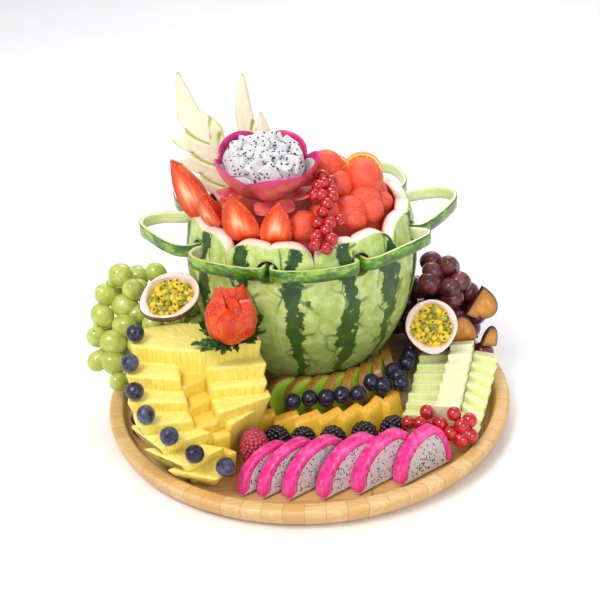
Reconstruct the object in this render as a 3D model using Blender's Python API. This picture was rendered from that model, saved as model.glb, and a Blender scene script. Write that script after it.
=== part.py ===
"""Fruit platter: a carved watermelon basket full of fruit, on a round bamboo tray set with cut fruit.

Frame: metres, +Z up, origin on the underside of the tray at its centre, the front of the platter at -Y.
Angles round the watermelon are in degrees from the front (-Y), growing towards +X.
"""
import math
import random

import bmesh
import bpy
from mathutils import Matrix, Vector
from mathutils.bvhtree import BVHTree

# ---------------------------------------------------------------- driving dimensions, in metres
MM = 0.001
GAP = 0.0003                    # clearance between pieces that touch

TRAY_RADIUS = 0.200
TRAY_FOOT_RADIUS = 0.188
TRAY_HEIGHT = 0.0217
TRAY_RIM_WIDTH = 0.0135
TRAY_FLOOR = 0.010
FLOOR_RADIUS = 0.179
FLOOR_REST = TRAY_FLOOR + GAP

MELON_Y = 0.060                 # the watermelon's axis stands behind the tray's centre
MELON_RADIUS = 0.115
MELON_HALF_HEIGHT = 0.142
MELON_CENTRE_Z = 0.1487
RIND = 0.014
HOLLOW_FLOOR = 0.135
HEARTS = 8                      # scalloped hearts round the rim, each over one hole
FIRST_HOLE = -17.0
HEART_PITCH = 360.0 / HEARTS
HOLE_Z = 0.1772
HOLE_RADIUS = 0.0108
NOTCH_Z = 0.1822                # between two hearts
DIP_Z = 0.1966                  # between a heart's two lobes
LOBE_Z = 0.2000
LOBE_ANGLE = 10.5

STRIP_Z = 0.1776
STRIP_HEIGHT = 0.0118
STRIP_THICKNESS = 0.0038

SEED = 11


# ---------------------------------------------------------------- scene, materials and objects

def clear_scene():
    for thing in list(bpy.data.objects):
        bpy.data.objects.remove(thing, do_unlink=True)


def finish(name, colour, roughness=0.4):
    """A Principled material of one colour."""
    made = bpy.data.materials.new(name)
    made.use_nodes = True
    shader = made.node_tree.nodes["Principled BSDF"]
    shader.inputs["Base Color"].default_value = (*colour, 1.0)
    shader.inputs["Roughness"].default_value = roughness
    shader.inputs["Metallic"].default_value = 0.0
    made.diffuse_color = (*colour, 1.0)
    return made


def raw_object(name, shape):
    mesh = bpy.data.meshes.new(name)
    mesh.from_pydata([tuple(v) for v in shape[0]], [], shape[1])
    mesh.validate()
    made = bpy.data.objects.new(name, mesh)
    bpy.context.scene.collection.objects.link(made)
    return made


def face_out(mesh):
    """Turn the faces out and shade the round ones smooth."""
    work = bmesh.new()
    work.from_mesh(mesh)
    bmesh.ops.recalc_face_normals(work, faces=work.faces)
    if work.calc_volume(signed=True) < 0.0:
        bmesh.ops.reverse_faces(work, faces=work.faces)
    work.to_mesh(mesh)
    work.free()
    mesh.shade_smooth()
    mesh.set_sharp_from_angle(angle=math.radians(38.0))


def solid(name, shape, look):
    """One closed body from a shape, with its material."""
    made = raw_object(name, shape)
    face_out(made.data)
    made.data.materials.append(look)
    return made


def bake_modifiers(made):
    """Replace an object's mesh by its evaluated mesh."""
    graph = bpy.context.evaluated_depsgraph_get()
    baked = bpy.data.meshes.new_from_object(made.evaluated_get(graph))
    made.modifiers.clear()
    old = made.data
    made.data = baked
    bpy.data.meshes.remove(old)


def keep_outer_body(mesh):
    """Keep the largest closed shell: sealed hollows are filled and loose scraps dropped."""
    work = bmesh.new()
    work.from_mesh(mesh)
    unseen = set(work.faces)
    shells = []
    while unseen:
        shell = set()
        todo = [unseen.pop()]
        while todo:
            face = todo.pop()
            shell.add(face)
            for edge in face.edges:
                for other in edge.link_faces:
                    if other in unseen:
                        unseen.discard(other)
                        todo.append(other)
        shells.append(shell)

    def spread(shell):
        places = [v.co for f in shell for v in f.verts]
        return sum(max(p[i] for p in places) - min(p[i] for p in places) for i in range(3))

    largest = max(shells, key=spread)
    bmesh.ops.delete(work, geom=[f for f in work.faces if f not in largest], context="FACES")
    work.to_mesh(mesh)
    work.free()


def fused(name, shapes, look, solver="EXACT"):
    """Join overlapping shapes into one body with one Boolean union on a collection."""
    parts = [raw_object(f"{name}_piece", shape) for shape in shapes]
    for part in parts:
        face_out(part.data)
    base = parts[0]
    base.name = name
    group = bpy.data.collections.new(f"{name}_pieces")
    bpy.context.scene.collection.children.link(group)
    for part in parts[1:]:
        group.objects.link(part)
    union = base.modifiers.new("union", "BOOLEAN")
    union.operation = "UNION"
    union.operand_type = "COLLECTION"
    union.collection = group
    union.solver = solver
    bake_modifiers(base)
    for part in parts[1:]:
        bpy.data.objects.remove(part, do_unlink=True)
    bpy.data.collections.remove(group)
    keep_outer_body(base.data)
    face_out(base.data)
    base.data.materials.clear()
    base.data.materials.append(look)
    return base


def cut(made, cutters):
    """Take the cutter shapes out of an object."""
    for shape in cutters:
        cutter = raw_object("cutter", shape)
        face_out(cutter.data)
        cutter.hide_render = True
        cutter.display_type = "WIRE"
        taken = made.modifiers.new("cut", "BOOLEAN")
        taken.operation = "DIFFERENCE"
        taken.object = cutter
        taken.solver = "EXACT"
        bake_modifiers(made)
        bpy.data.objects.remove(cutter, do_unlink=True)
    keep_outer_body(made.data)
    face_out(made.data)


# ---------------------------------------------------------------- resting pieces on each other

def tree_of(made, shift=Vector((0.0, 0.0, 0.0))):
    mesh = made.data
    points = [v.co + shift for v in mesh.vertices]
    return BVHTree.FromPolygons(points, [tuple(p.vertices) for p in mesh.polygons])


def settle(made, others, direction=(0.0, 0.0, -1.0), reach=0.030, step=0.0008):
    """Slide a piece, or a list of pieces together, along a direction till it rests on the others.

    It starts clear of them, a little before its place, and goes at most 'reach' past its place.
    """
    group = made if isinstance(made, (list, tuple)) else [made]
    way = Vector(direction).normalized()
    trees = [tree_of(other) for other in others if other not in group]

    def touches(travel):
        return any(tree_of(piece, way * travel).overlap(tree) for piece in group for tree in trees)

    travel = 0.0
    while touches(travel):
        travel -= step
    while not touches(travel) and travel < reach:
        travel += step
    if travel < reach:
        low, high = travel - step, travel
        for _ in range(5):
            middle = (low + high) / 2.0
            if touches(middle):
                high = middle
            else:
                low = middle
        travel = low - GAP
    for piece in group:
        piece.data.transform(Matrix.Translation(way * travel))
    return made


# ---------------------------------------------------------------- shapes: (points, faces)

def at(x, y, z):
    """A place given in millimetres."""
    return Vector((x, y, z)) * MM


def moved(shape, matrix):
    return [matrix @ Vector(v) for v in shape[0]], shape[1]


def pose(origin, heading=0.0, lean=0.0, roll=0.0):
    """Local X runs along the heading, local Z up and leaning back, local -Y is the face's normal."""
    turn = Matrix.Rotation(math.radians(heading), 4, "Z")
    tip = Matrix.Rotation(math.radians(-lean), 4, "X")
    spin = Matrix.Rotation(math.radians(roll), 4, "Y")
    return Matrix.Translation(origin) @ turn @ tip @ spin


def polar(angle, radius, z):
    """A point round the watermelon's axis."""
    a = math.radians(angle)
    return Vector((radius * math.sin(a), MELON_Y - radius * math.cos(a), z))


def bridge(faces, low, high):
    """Join two closed rings of point numbers; the upper one may have twice the points."""
    n, m = len(low), len(high)
    for i in range(n):
        j = (i + 1) % n
        if n == m:
            faces.append((low[i], low[j], high[j], high[i]))
        else:
            a, b, c = high[2 * i], high[2 * i + 1], high[(2 * i + 2) % m]
            faces.append((low[i], b, a))
            faces.append((low[i], low[j], b))
            faces.append((low[j], c, b))


def loft(rings):
    """A closed body through rings of points, ended by flat caps."""
    points, numbers, faces = [], [], []
    for ring in rings:
        numbers.append(list(range(len(points), len(points) + len(ring))))
        points.extend(Vector(p) for p in ring)
    for low, high in zip(numbers, numbers[1:]):
        if len(low) <= len(high):
            bridge(faces, low, high)
        else:
            bridge(faces, high, low)
    faces.append(tuple(reversed(numbers[0])))
    faces.append(tuple(numbers[-1]))
    return points, faces


def turned(profile, sides, centre=(0.0, 0.0, 0.0)):
    """A body turned round a vertical axis from (radius, height) pairs."""
    base = Vector(centre)
    rings = []
    for radius, z in profile:
        ring = [base + Vector((radius * math.cos(2 * math.pi * k / sides),
                               radius * math.sin(2 * math.pi * k / sides), z)) for k in range(sides)]
        rings.append(ring)
    return loft(rings)


def ball(centre, radii, sides=8, rows=5, turn=None, bumps=0.0):
    """An ellipsoid with few sides; bumps lift every second point, as drupelets do."""
    if isinstance(radii, float):
        radii = (radii, radii, radii)
    base = Vector(centre)
    turn = turn or Matrix.Identity(4)
    points = [Vector((0.0, 0.0, -radii[2]))]
    faces = []
    for row in range(1, rows):
        polar_angle = math.pi * row / rows
        for side in range(sides):
            a = 2 * math.pi * (side + 0.5 * (row % 2)) / sides
            swell = 1.0 + bumps * (1 if side % 2 == row % 2 else -1)
            points.append(Vector((radii[0] * swell * math.sin(polar_angle) * math.cos(a),
                                  radii[1] * swell * math.sin(polar_angle) * math.sin(a),
                                  -radii[2] * swell * math.cos(polar_angle))))
    points.append(Vector((0.0, 0.0, radii[2])))
    top = len(points) - 1
    for side in range(sides):
        nxt = (side + 1) % sides
        faces.append((0, 1 + nxt, 1 + side))
        last = 1 + (rows - 2) * sides
        faces.append((top, last + side, last + nxt))
        for row in range(rows - 2):
            a, b = 1 + row * sides + side, 1 + row * sides + nxt
            c, d = a + sides, b + sides
            if row % 2 == 0:
                faces.append((a, b, c))
                faces.append((b, d, c))
            else:
                faces.append((a, d, c))
                faces.append((a, b, d))
    return [base + (turn @ p) for p in points], faces


def outline_slab(outline, thickness, back=1.0):
    """An outline in local X and Z made thick along +Y; the back face may be smaller."""
    n = len(outline)
    front = [Vector((x, 0.0, z)) for x, z in outline]
    rear = [Vector((x * back, thickness, z * back)) for x, z in outline]
    faces = [tuple(range(n)), tuple(range(2 * n - 1, n - 1, -1))]
    for i in range(n):
        j = (i + 1) % n
        faces.append((j, i, n + i, n + j))
    return front + rear, faces


def half_disc(half_width, height, thickness, sides=10, back=1.0):
    """A D-shaped slice standing on its straight edge."""
    outline = []
    for k in range(sides + 1):
        a = math.pi * k / sides
        outline.append((half_width * math.cos(a), height * math.sin(a)))
    return outline_slab(outline, thickness, back)


def round_slice(radius, thickness, sides):
    outline = []
    for k in range(sides):
        a = 2 * math.pi * k / sides
        outline.append((radius * math.cos(a), radius * math.sin(a)))
    return outline_slab(outline, thickness)


def wedge_block(bottom, top):
    """A six-sided block between two four-cornered faces."""
    return list(bottom) + list(top), [(3, 2, 1, 0), (4, 5, 6, 7), (0, 1, 5, 4), (1, 2, 6, 5),
                                      (2, 3, 7, 6), (3, 0, 4, 7)]


def thin_leaf(rows, thickness):
    """A wavy thin body on a grid of points, both faces split into triangles alike."""
    count, across = len(rows), len(rows[0])
    front = [Vector(p) for row in rows for p in row]
    back = []
    for i in range(count):
        for j in range(across):
            along = rows[min(i + 1, count - 1)][j] - rows[max(i - 1, 0)][j]
            over = rows[i][min(j + 1, across - 1)] - rows[i][max(j - 1, 0)]
            normal = along.cross(over)
            if normal.length < 1e-9:
                normal = Vector((0.0, 1.0, 0.0))
            normal.normalize()
            back.append(front[i * across + j] + normal * thickness)
    size = len(front)
    faces = []
    for i in range(count - 1):
        for j in range(across - 1):
            a = i * across + j
            b, c, d = a + 1, a + across, a + across + 1
            faces.extend([(a, b, d), (a, d, c)])
            faces.extend([(size + a, size + d, size + b), (size + a, size + c, size + d)])
    border = ([i * across for i in range(count)] + [(count - 1) * across + j for j in range(1, across)]
              + [i * across + across - 1 for i in range(count - 2, -1, -1)] + list(range(across - 2, 0, -1)))
    for a, b in zip(border, border[1:] + border[:1]):
        faces.append((a, b, size + b, size + a))
    return front + back, faces


def rosette(rows, thickness):
    """A thin closed sheet round a centre, from rows of (point, normal); the last row repeats the first."""
    rows = rows[:-1]
    count, across = len(rows), len(rows[0])
    top = [p for row in rows for p, _ in row]
    low = [p - normal * thickness for row in rows for p, normal in row]
    size = len(top)
    faces = [tuple(i * across for i in range(count)),
             tuple(size + i * across for i in range(count - 1, -1, -1))]
    for i in range(count):
        k = ((i + 1) % count) * across
        for j in range(across - 1):
            a, b, c, d = i * across + j, i * across + j + 1, k + j, k + j + 1
            faces.extend([(a, b, d), (a, d, c)])
            faces.extend([(size + a, size + d, size + b), (size + a, size + c, size + d)])
        a, b = i * across + across - 1, k + across - 1
        faces.append((a, size + a, size + b, b))
    return top + low, faces


def smooth_path(knots, per_span):
    """Points on a Catmull-Rom curve through the knots."""
    padded = [knots[0]] + list(knots) + [knots[-1]]
    path = []
    for i in range(len(knots) - 1):
        a, b, c, d = (Vector(p) for p in padded[i:i + 4])
        for step in range(per_span):
            t = step / per_span
            path.append(0.5 * (2 * b + (c - a) * t + (2 * a - 5 * b + 4 * c - d) * t * t
                               + (3 * b - a - 3 * c + d) * t * t * t))
    path.append(Vector(knots[-1]))
    return path


# ---------------------------------------------------------------- tray

def make_tray(look):
    inner = TRAY_RADIUS - TRAY_RIM_WIDTH
    profile = [(TRAY_FOOT_RADIUS, 0.0), (0.1955, 0.0060), (TRAY_RADIUS, 0.0180), (0.1987, TRAY_HEIGHT),
               (inner, TRAY_HEIGHT), (0.1815, 0.0112), (FLOOR_RADIUS, TRAY_FLOOR)]
    return solid("tray", turned(profile, 40), look)


# ---------------------------------------------------------------- watermelon basket

def melon_radius(z):
    """Radius of the skin at a height."""
    return MELON_RADIUS * math.sqrt(max(0.0, 1.0 - ((z - MELON_CENTRE_Z) / MELON_HALF_HEIGHT) ** 2))


def rim_height(angle):
    """The scalloped rim: two round lobes to a heart, a dip over the hole, a deep notch between hearts."""
    half = HEART_PITCH / 2.0
    off = abs((angle - FIRST_HOLE + half) % HEART_PITCH - half)
    if off <= LOBE_ANGLE:
        share = (LOBE_ANGLE - off) / LOBE_ANGLE
        return DIP_Z + (LOBE_Z - DIP_Z) * math.sqrt(max(0.0, 1.0 - share * share))
    share = (off - LOBE_ANGLE) / (half - LOBE_ANGLE)
    return NOTCH_Z + (LOBE_Z - NOTCH_Z) * math.sqrt(max(0.0, 1.0 - share * share))


def make_melon(look):
    corners = [-22.5, -19.5, -10.5, -4.0, 0.0, 4.0, 10.5, 19.5]
    fine = [FIRST_HOLE + HEART_PITCH * k + c for k in range(HEARTS) for c in corners]
    coarse = fine[::2]
    rings = []
    for z in (FLOOR_REST, 0.032, 0.078, 0.142):
        rings.append([polar(a, melon_radius(z), z) for a in coarse])
    rings.append([polar(a, melon_radius(0.163), 0.163) for a in fine])
    for inset, lift in ((0.0, 0.0), (RIND, 0.0015)):
        ring = []
        for a in fine:
            z = rim_height(a)
            ring.append(polar(a, melon_radius(z) - inset, z + lift))
        rings.append(ring)
    rings.append([polar(a, melon_radius(0.152) - RIND, 0.152) for a in coarse])
    rings.append([polar(a, melon_radius(HOLLOW_FLOOR) - RIND - 0.004, HOLLOW_FLOOR) for a in coarse])
    made = solid("melon", loft(rings), look)
    holes = []
    for k in range(HEARTS):
        angle = FIRST_HOLE + HEART_PITCH * k
        outward = polar(angle, 1.0, 0.0) - polar(angle, 0.0, 0.0)
        side = Vector((outward.y, -outward.x, 0.0))
        bore = []
        for reach in (0.080, 0.130):
            centre = polar(angle, reach, HOLE_Z)
            bore.append([centre + side * HOLE_RADIUS * math.cos(2 * math.pi * (i + 0.5) / 8)
                         + Vector((0, 0, HOLE_RADIUS)) * math.sin(2 * math.pi * (i + 0.5) / 8)
                         for i in range(8)])
        holes.append(loft(bore))
    cut(made, holes)
    return made


# Each strip of rind leaves one hole and comes back at the next. Its way is given as
# (angle past its first hole, distance from the melon's axis in millimetres).
STRIP_IN = (1.6, 104)
STRIP_OUT = (43.4, 104)
STRIPS = {
    "strip_1": (-107.0, [(1.75, 113), (3.6, 122), (5.0, 143), (9.0, 157), (15.5, 158), (23.0, 148), (32.0, 138),
                         (39.0, 130), (42.6, 121), (43.25, 113)]),
    "strip_2": (-62.0, [(1.75, 113), (2.6, 119), (6.0, 127), (13.0, 128), (24.0, 123.5), (35.0, 119.5),
                        (41.6, 117.2), (43.25, 113)]),
    "strip_3": (-17.0, [(1.75, 113), (3.3, 117.2), (9.0, 119.2), (22.5, 120), (36.0, 119.2), (41.7, 117.2),
                        (43.25, 113)]),
    "strip_4": (28.0, [(1.75, 113), (3.3, 117.2), (9.0, 119.2), (22.0, 121), (33.0, 127), (39.5, 131), (42.8, 127),
                       (43.25, 113)]),
    "strip_5": (73.0, [(1.75, 113), (3.2, 121), (12.0, 133), (22.0, 149), (30.0, 163), (36.0, 165), (40.0, 153),
                       (42.2, 127), (43.25, 113)]),
    "strip_6": (118.0, [(1.75, 113), (2.8, 121), (9.0, 141), (18.0, 158), (25.5, 167), (31.0, 160), (36.5, 140),
                        (41.5, 121), (43.25, 113)]),
    "strip_7": (163.0, [(1.75, 113), (3.2, 122), (10.0, 144), (19.0, 158), (27.0, 157), (35.0, 142), (41.5, 121),
                        (43.25, 113)]),
    "strip_8": (208.0, [(1.75, 113), (3.2, 122), (10.0, 145), (19.0, 160), (27.0, 158), (35.0, 142), (41.5, 121),
                        (43.25, 113)]),
}


def make_strip(name, start, knots, look):
    ends = [polar(start + angle, radius * MM, STRIP_Z) for angle, radius in (STRIP_IN, STRIP_OUT)]
    way = smooth_path([polar(start + angle, radius * MM, STRIP_Z) for angle, radius in knots], 2)
    way = [ends[0]] + way + [ends[1]]
    rings = []
    half = STRIP_HEIGHT / 2.0
    for i, point in enumerate(way):
        along = (way[min(i + 1, len(way) - 1)] - way[max(i - 1, 0)]).normalized()
        side = Vector((along.y, -along.x, 0.0)) * (STRIP_THICKNESS / 2.0)
        up = Vector((0.0, 0.0, half))
        rings.append([point - side - up, point + side - up, point + side + up, point - side + up])
    return solid(name, loft(rings), look)


# ---------------------------------------------------------------- fruit in the basket

# centre and radius of the melon balls that show, in millimetres
MELON_BALLS = [((62, 50, 229), 20), ((60, 33, 210), 17.5), ((46, 14, 206), 17), ((2, -12, 205), 16),
               ((27, 50, 240), 16), ((37, 36, 226), 14), ((73, 61, 207), 13.5), ((22, 2, 212), 15),
               ((30, 110, 209), 17), ((57, 106, 199), 14), ((-6, 114, 212), 18), ((-44, 106, 206), 17),
               ((50, 86, 203), 14), ((-29, 27, 212), 13)]


def make_heap(look):
    """Balls of watermelon on a low mound that fills the hollow."""
    mound = [(0.070, HOLLOW_FLOOR + GAP), (0.088, 0.150), (0.0885, 0.190), (0.074, 0.202), (0.020, 0.216)]
    shapes = [turned(mound, 12, (0.0, MELON_Y, 0.0))]
    for place, radius in MELON_BALLS:
        shapes.append(ball(at(*place), radius * MM, 6 if radius < 17 or place[1] > 100 else 7, 4))
    return fused("melon_balls", shapes, look)


FLOWER_BASE = (-33, 25, 225)
FLOWER_TILT = 9.0
FLOWER_SIDES = 24


def flower_frame():
    return (Matrix.Translation(at(*FLOWER_BASE)) @ Matrix.Rotation(math.radians(FLOWER_TILT), 4, "X")
            @ Matrix.Rotation(math.radians(4.0), 4, "Y"))


def petal_height(k, sides=FLOWER_SIDES, petals=6):
    """Rim of the dragon-fruit cup: pointed petals."""
    share = (k * petals / sides) % 1.0
    return 7.0 * (1.0 - abs(2.0 * share - 1.0)) * MM


def make_flower(skin_look, flesh_look, others):
    rings = []
    rows = [(14, 0, 0.0), (28, 4, 2.0), (41, 18, 1.5), (46, 36, 0.0)]
    for radius, height, star in rows:
        ring = []
        for k in range(FLOWER_SIDES):
            a = 2 * math.pi * k / FLOWER_SIDES
            r = (radius + star * math.cos(3 * a + 1.0)) * MM
            lift = petal_height(k) if height == 36 else 0.0
            ring.append(Vector((r * math.cos(a), r * math.sin(a), height * MM + lift)))
        rings.append(ring)
    for radius, height in ((41, 35), (36, 19), (21, 9)):
        ring = []
        for k in range(FLOWER_SIDES):
            a = 2 * math.pi * k / FLOWER_SIDES
            lift = petal_height(k) if height == 35 else 0.0
            ring.append(Vector((radius * MM * math.cos(a), radius * MM * math.sin(a), height * MM + lift)))
        rings.append(ring)
    skin = solid("flower_skin", moved(loft(rings), flower_frame()), skin_look)
    dome = [(20.0, 9.5), (34.0, 19.4), (36.6, 32.0), (34.0, 39.0), (22.0, 44.0), (10.0, 46.0)]
    shapes = [turned([(r * MM, h * MM) for r, h in dome], 16)]
    draw = random.Random(SEED)
    for k in range(7):
        a = 2 * math.pi * k / 7 + draw.uniform(-0.2, 0.2)
        reach = (18 if k % 2 else 9) * MM
        size = 7.5 * MM
        place = Matrix.Translation((reach * math.cos(a), reach * math.sin(a), (38 if k % 2 else 42) * MM))
        spin = Matrix.Rotation(draw.uniform(0.3, 1.2), 4, "Z")
        turn = place @ spin @ Matrix.Rotation(draw.uniform(0.3, 0.9), 4, "X")
        low = [Vector((x * size, y * size, -size)) for x, y in ((-1, -1), (1, -1), (1, 1), (-1, 1))]
        high = [p + Vector((0, 0, 2 * size)) for p in low]
        shapes.append(moved(wedge_block(low, high), turn))
    flesh = fused("flower_flesh", [moved(shape, flower_frame()) for shape in shapes], flesh_look)
    return settle([skin, flesh], others, (0.0, 0.0, -1.0), 0.015)


def make_carved_leaves(look, others):
    """Two leaves carved from pale melon, standing behind the flower. Rows are (place along, left, right)."""
    leaves = {
        "carved_leaf_left": (at(-72, 58, 202), -19.0, -8.0,
                             [(0, 6, 6), (14, 9, 8), (27, 17, 12), (30, 29, 13), (33, 14, 14), (47, 20, 17),
                              (52, 31, 18), (55, 15, 19), (69, 21, 20), (74, 31, 19), (78, 13, 17), (92, 17, 6),
                              (109, 11, 4), (124, 6, 2), (133, 1.5, 1.0)]),
        "carved_leaf_right": (at(-38, 84, 210), -5.0, 4.0,
                              [(0, 7, 7), (14, 10, 10), (28, 9, 14), (44, 9, 15), (58, 9, 13), (70, 9.5, 7),
                               (76, 9.5, 6), (86, 8.5, 5), (98, 5.5, 3), (110, 1.0, 1.0)]),
    }
    made = []
    for name, (foot, roll, heading, rows) in leaves.items():
        grid = []
        frame = pose(foot, heading, 12.0, roll)
        for along, left, right in rows:
            bow = 5.0 * math.sin(math.pi * along / 134.0)
            grid.append([frame @ at(-left, bow + 2.0, along), frame @ at(-left * 0.4, bow, along),
                         frame @ at(right * 0.4, bow, along), frame @ at(right, bow + 2.0, along)])
        leaf = solid(name, thin_leaf(grid, 0.0038), look)
        made.append(settle(leaf, others + made, (0.0, 0.0, -1.0), 0.020))
    return made


def berry_slice(width, length, thickness, frame):
    """A strawberry slice: a heart-shaped wedge with its point up, domed on the skin side."""
    outline = [(0.0, 0.0), (0.30, 0.03), (0.48, 0.20), (0.46, 0.45), (0.32, 0.75), (0.12, 0.97), (0.0, 1.0),
               (-0.12, 0.97), (-0.32, 0.75), (-0.46, 0.45), (-0.48, 0.20), (-0.30, 0.03)]
    rings = []
    for shrink, depth in ((1.0, 0.0), (0.93, 0.55), (0.62, 1.0)):
        rings.append([Vector((x * width * shrink, depth * thickness, (z - 0.45) * length * shrink))
                      for x, z in outline])
    return moved(loft(rings), frame)


# place of the middle, heading, lean, roll, width, length and thickness in millimetres and degrees
STRAWBERRIES = {
    "strawberry_1": ((-106, 39, 228), -30, -4, -26, 36, 62, 12),
    "strawberry_2": ((-87, 8, 216), -40, -18, -6, 27, 36, 11),
    "strawberry_3": ((-70, 11, 222), -40, 0, -12, 17, 26, 6),
    "strawberry_4": ((-57, -18, 215), -22, -14, -6, 39, 53, 8),
    "strawberry_5": ((-22, -29, 214), -6, -6, 8, 31, 45, 11),
}


def make_strawberries(look, others):
    made = []
    for name, (place, heading, lean, roll, width, length, thickness) in STRAWBERRIES.items():
        frame = pose(at(*place), heading, lean, roll)
        piece = solid(name, berry_slice(width * MM, length * MM, thickness * MM, frame), look)
        settle(piece, others + made, (0.0, 0.0, -1.0), 0.012)
        made.append(piece)
    return made


def make_orange_slices(look, others):
    made = []
    rows = {"orange_slice_1": ((35, 80, 222), 6.0), "orange_slice_2": ((64, 88, 214), -4.0)}
    for name, (place, heading) in rows.items():
        slab = half_disc(0.0205, 0.0205, 0.007, 10)
        piece = solid(name, moved(slab, pose(at(*place), heading, 10.0)), look)
        settle(piece, others + made, (0.0, -0.15, -1.0), 0.020)
        made.append(piece)
    return made


# berries of the strand that hangs over the rim: (x, y, z) in millimetres
HANGING_CURRANTS = [(22, 16, 243), (22, 7, 239), (30, 13, 238), (30, 5, 232), (17, 3, 238), (13, -4, 233),
                    (20, -5, 232), (30, -5, 230), (24, -12, 226), (20, -19, 221), (15, -26, 214), (27, -27, 214),
                    (35, -22, 214), (22, -35, 210), (13, -39, 207), (12, -47, 202), (27, -45, 205), (22, -52, 200)]
CURRANT_RADIUS = 0.0062
STRAND_STEP = 1.8               # furthest two neighbours' middles stand apart, in radii
STRAND_WIDTH = 1.20             # the few-sided balls are drawn wide enough to meet


def strand(berries, radius):
    """Berries that hang together: each is drawn to the nearest of those before it till the two touch."""
    places = []
    for berry in berries:
        place = at(*berry)
        if places:
            nearest = min(places, key=lambda p: (p - place).length)
            apart = (place - nearest).length
            if apart > STRAND_STEP * radius:
                place = nearest + (place - nearest) * (STRAND_STEP * radius / apart)
        places.append(place)
    wide = radius * STRAND_WIDTH
    return [ball(place, (wide, wide, radius * 1.04), 5, 3) for place in places]


def make_hanging_currants(look, others):
    made = fused("currants_hanging", strand(HANGING_CURRANTS, CURRANT_RADIUS), look)
    return settle(made, others, (0.0, 0.2, -1.0), 0.020)


# ---------------------------------------------------------------- pineapple and what lies on it

# Slices from the back to the front: height of the cut face, then the front edge's corners from the
# outer left over both sides of the core's notch to the outer right, as (x, y) in millimetres.
PINEAPPLE_SLICES = [
    (118, (-165, -63), (-118, -76), (-95, -80), (-41, -66)),
    (101, (-169, -88), (-115, -99), (-95, -84), (-36, -80)),
    (86, (-166, -112), (-109, -114), (-90, -95), (-35, -88)),
    (74, (-155, -134), (-104, -127), (-83, -117), (-33, -92)),
    (62, (-134, -152), (-87, -128), (-72, -119), (-53, -101)),
    (50, (-111, -164), (-76, -136), (-68, -131), None),
    (38, (-84, -170), (-70, -146), None, None),
]
PINEAPPLE_BACK = [(-158, -30), (-124, -20), (-98, -26), (-44, -50)]
NOTCH_DEPTH = 10


def make_pineapple(look):
    """Half a pineapple with its core notched out, sliced across and stepped down to the front."""
    centre = Vector((-0.100, -0.085, 0.0))

    def foot(corner, share):
        """Where the skin below a corner meets the tray: drawn in under the slice."""
        low = centre.lerp(Vector((corner[0] * MM, corner[1] * MM, 0.0)), share)
        reach = math.hypot(low.x, low.y)
        limit = FLOOR_RADIUS - 0.003
        if reach > limit:
            low *= limit / reach
        low.z = FLOOR_REST
        return low

    shapes = []
    edges = [PINEAPPLE_BACK] + [list(row[1:]) for row in PINEAPPLE_SLICES]
    for k, row in enumerate(PINEAPPLE_SLICES):
        height = row[0]
        front, back = edges[k + 1], edges[max(k - 1, 0)]
        for side in range(3):
            if front[side + 1] is None:
                continue
            trench = side == 1 and k > 0
            drop = NOTCH_DEPTH if trench else 0
            spread = 1.5 if trench else 0.0
            rise = 0.0 if k == 0 else 1.0
            corners = [(front[side][0] - spread, front[side][1] + drop * 0.15, height - drop),
                       (front[side + 1][0] + spread, front[side + 1][1] + drop * 0.15, height - drop),
                       (back[side + 1][0] + spread, back[side + 1][1] + 0.3 * k, height - drop + rise),
                       (back[side][0] - spread, back[side][1] + 0.3 * k, height - drop + rise)]
            low = [foot(corner, (0.66, 0.90, 0.55)[side]) for corner in corners]
            shapes.append(wedge_block(low, [at(*corner) for corner in corners]))
    return fused("pineapple", shapes, look)


PINEAPPLE_BERRIES = [(-158, -57), (-162, -82), (-157, -106), (-146, -128), (-125, -146), (-103, -157), (-77, -161)]
BLUEBERRY_RADIUS = 0.0088


def make_pineapple_berries(look, pineapple):
    made = []
    for k, (x, y) in enumerate(PINEAPPLE_BERRIES):
        place = at(x, y, PINEAPPLE_SLICES[k][0] + 12)
        radii = (BLUEBERRY_RADIUS, BLUEBERRY_RADIUS, 0.0080)
        berry = solid(f"blueberry_{k + 1}", ball(place, radii, 8, 5), look)
        settle(berry, [pineapple] + made, (0.0, 0.0, -1.0), 0.012)
        made.append(berry)
    return made


ROSE_PLACE = (-68, -73, 146)
ROSE_SIDES = 18


def make_rose(look, others):
    """A strawberry cut to a rose: a round berry with petals opened round a bud."""
    rows = [(7, -25, 0, 0), (17.5, -18, 0, 0), (24.5, -6, 1.0, 0), (25.5, 4, 1.5, 0), (23, 12, 2.5, 5), (18, 8, 0, 3),
            (14, 11, 1.5, 4), (10, 14, 0, 0), (6, 22, 1.0, 0)]
    rings = []
    for radius, height, star, rise in rows:
        ring = []
        for k in range(ROSE_SIDES):
            a = 2 * math.pi * k / ROSE_SIDES
            wave = math.cos(5 * a + 0.6)
            r = (radius + star * wave) * MM
            ring.append(Vector((r * math.cos(a), r * math.sin(a), (height + rise * wave) * MM)))
        rings.append(ring)
    frame = pose(at(*ROSE_PLACE), 0.0, -14.0)
    made = solid("rose", moved(loft(rings), frame), look)
    return settle(made, others, (0.0, 0.35, -1.0), 0.020)


# leaf blades of the sprig under the rose: heading and rise in degrees, length in millimetres, and the
# share of the length that lies flat before the blade turns up
SPRIG_LEAVES = [(5, 20, 33, 0.45), (56, 90, 66, 0.43), (132, 88, 62, 0.46), (190, 2, 38, 0.45),
                (250, -4, 26, 0.45)]


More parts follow.
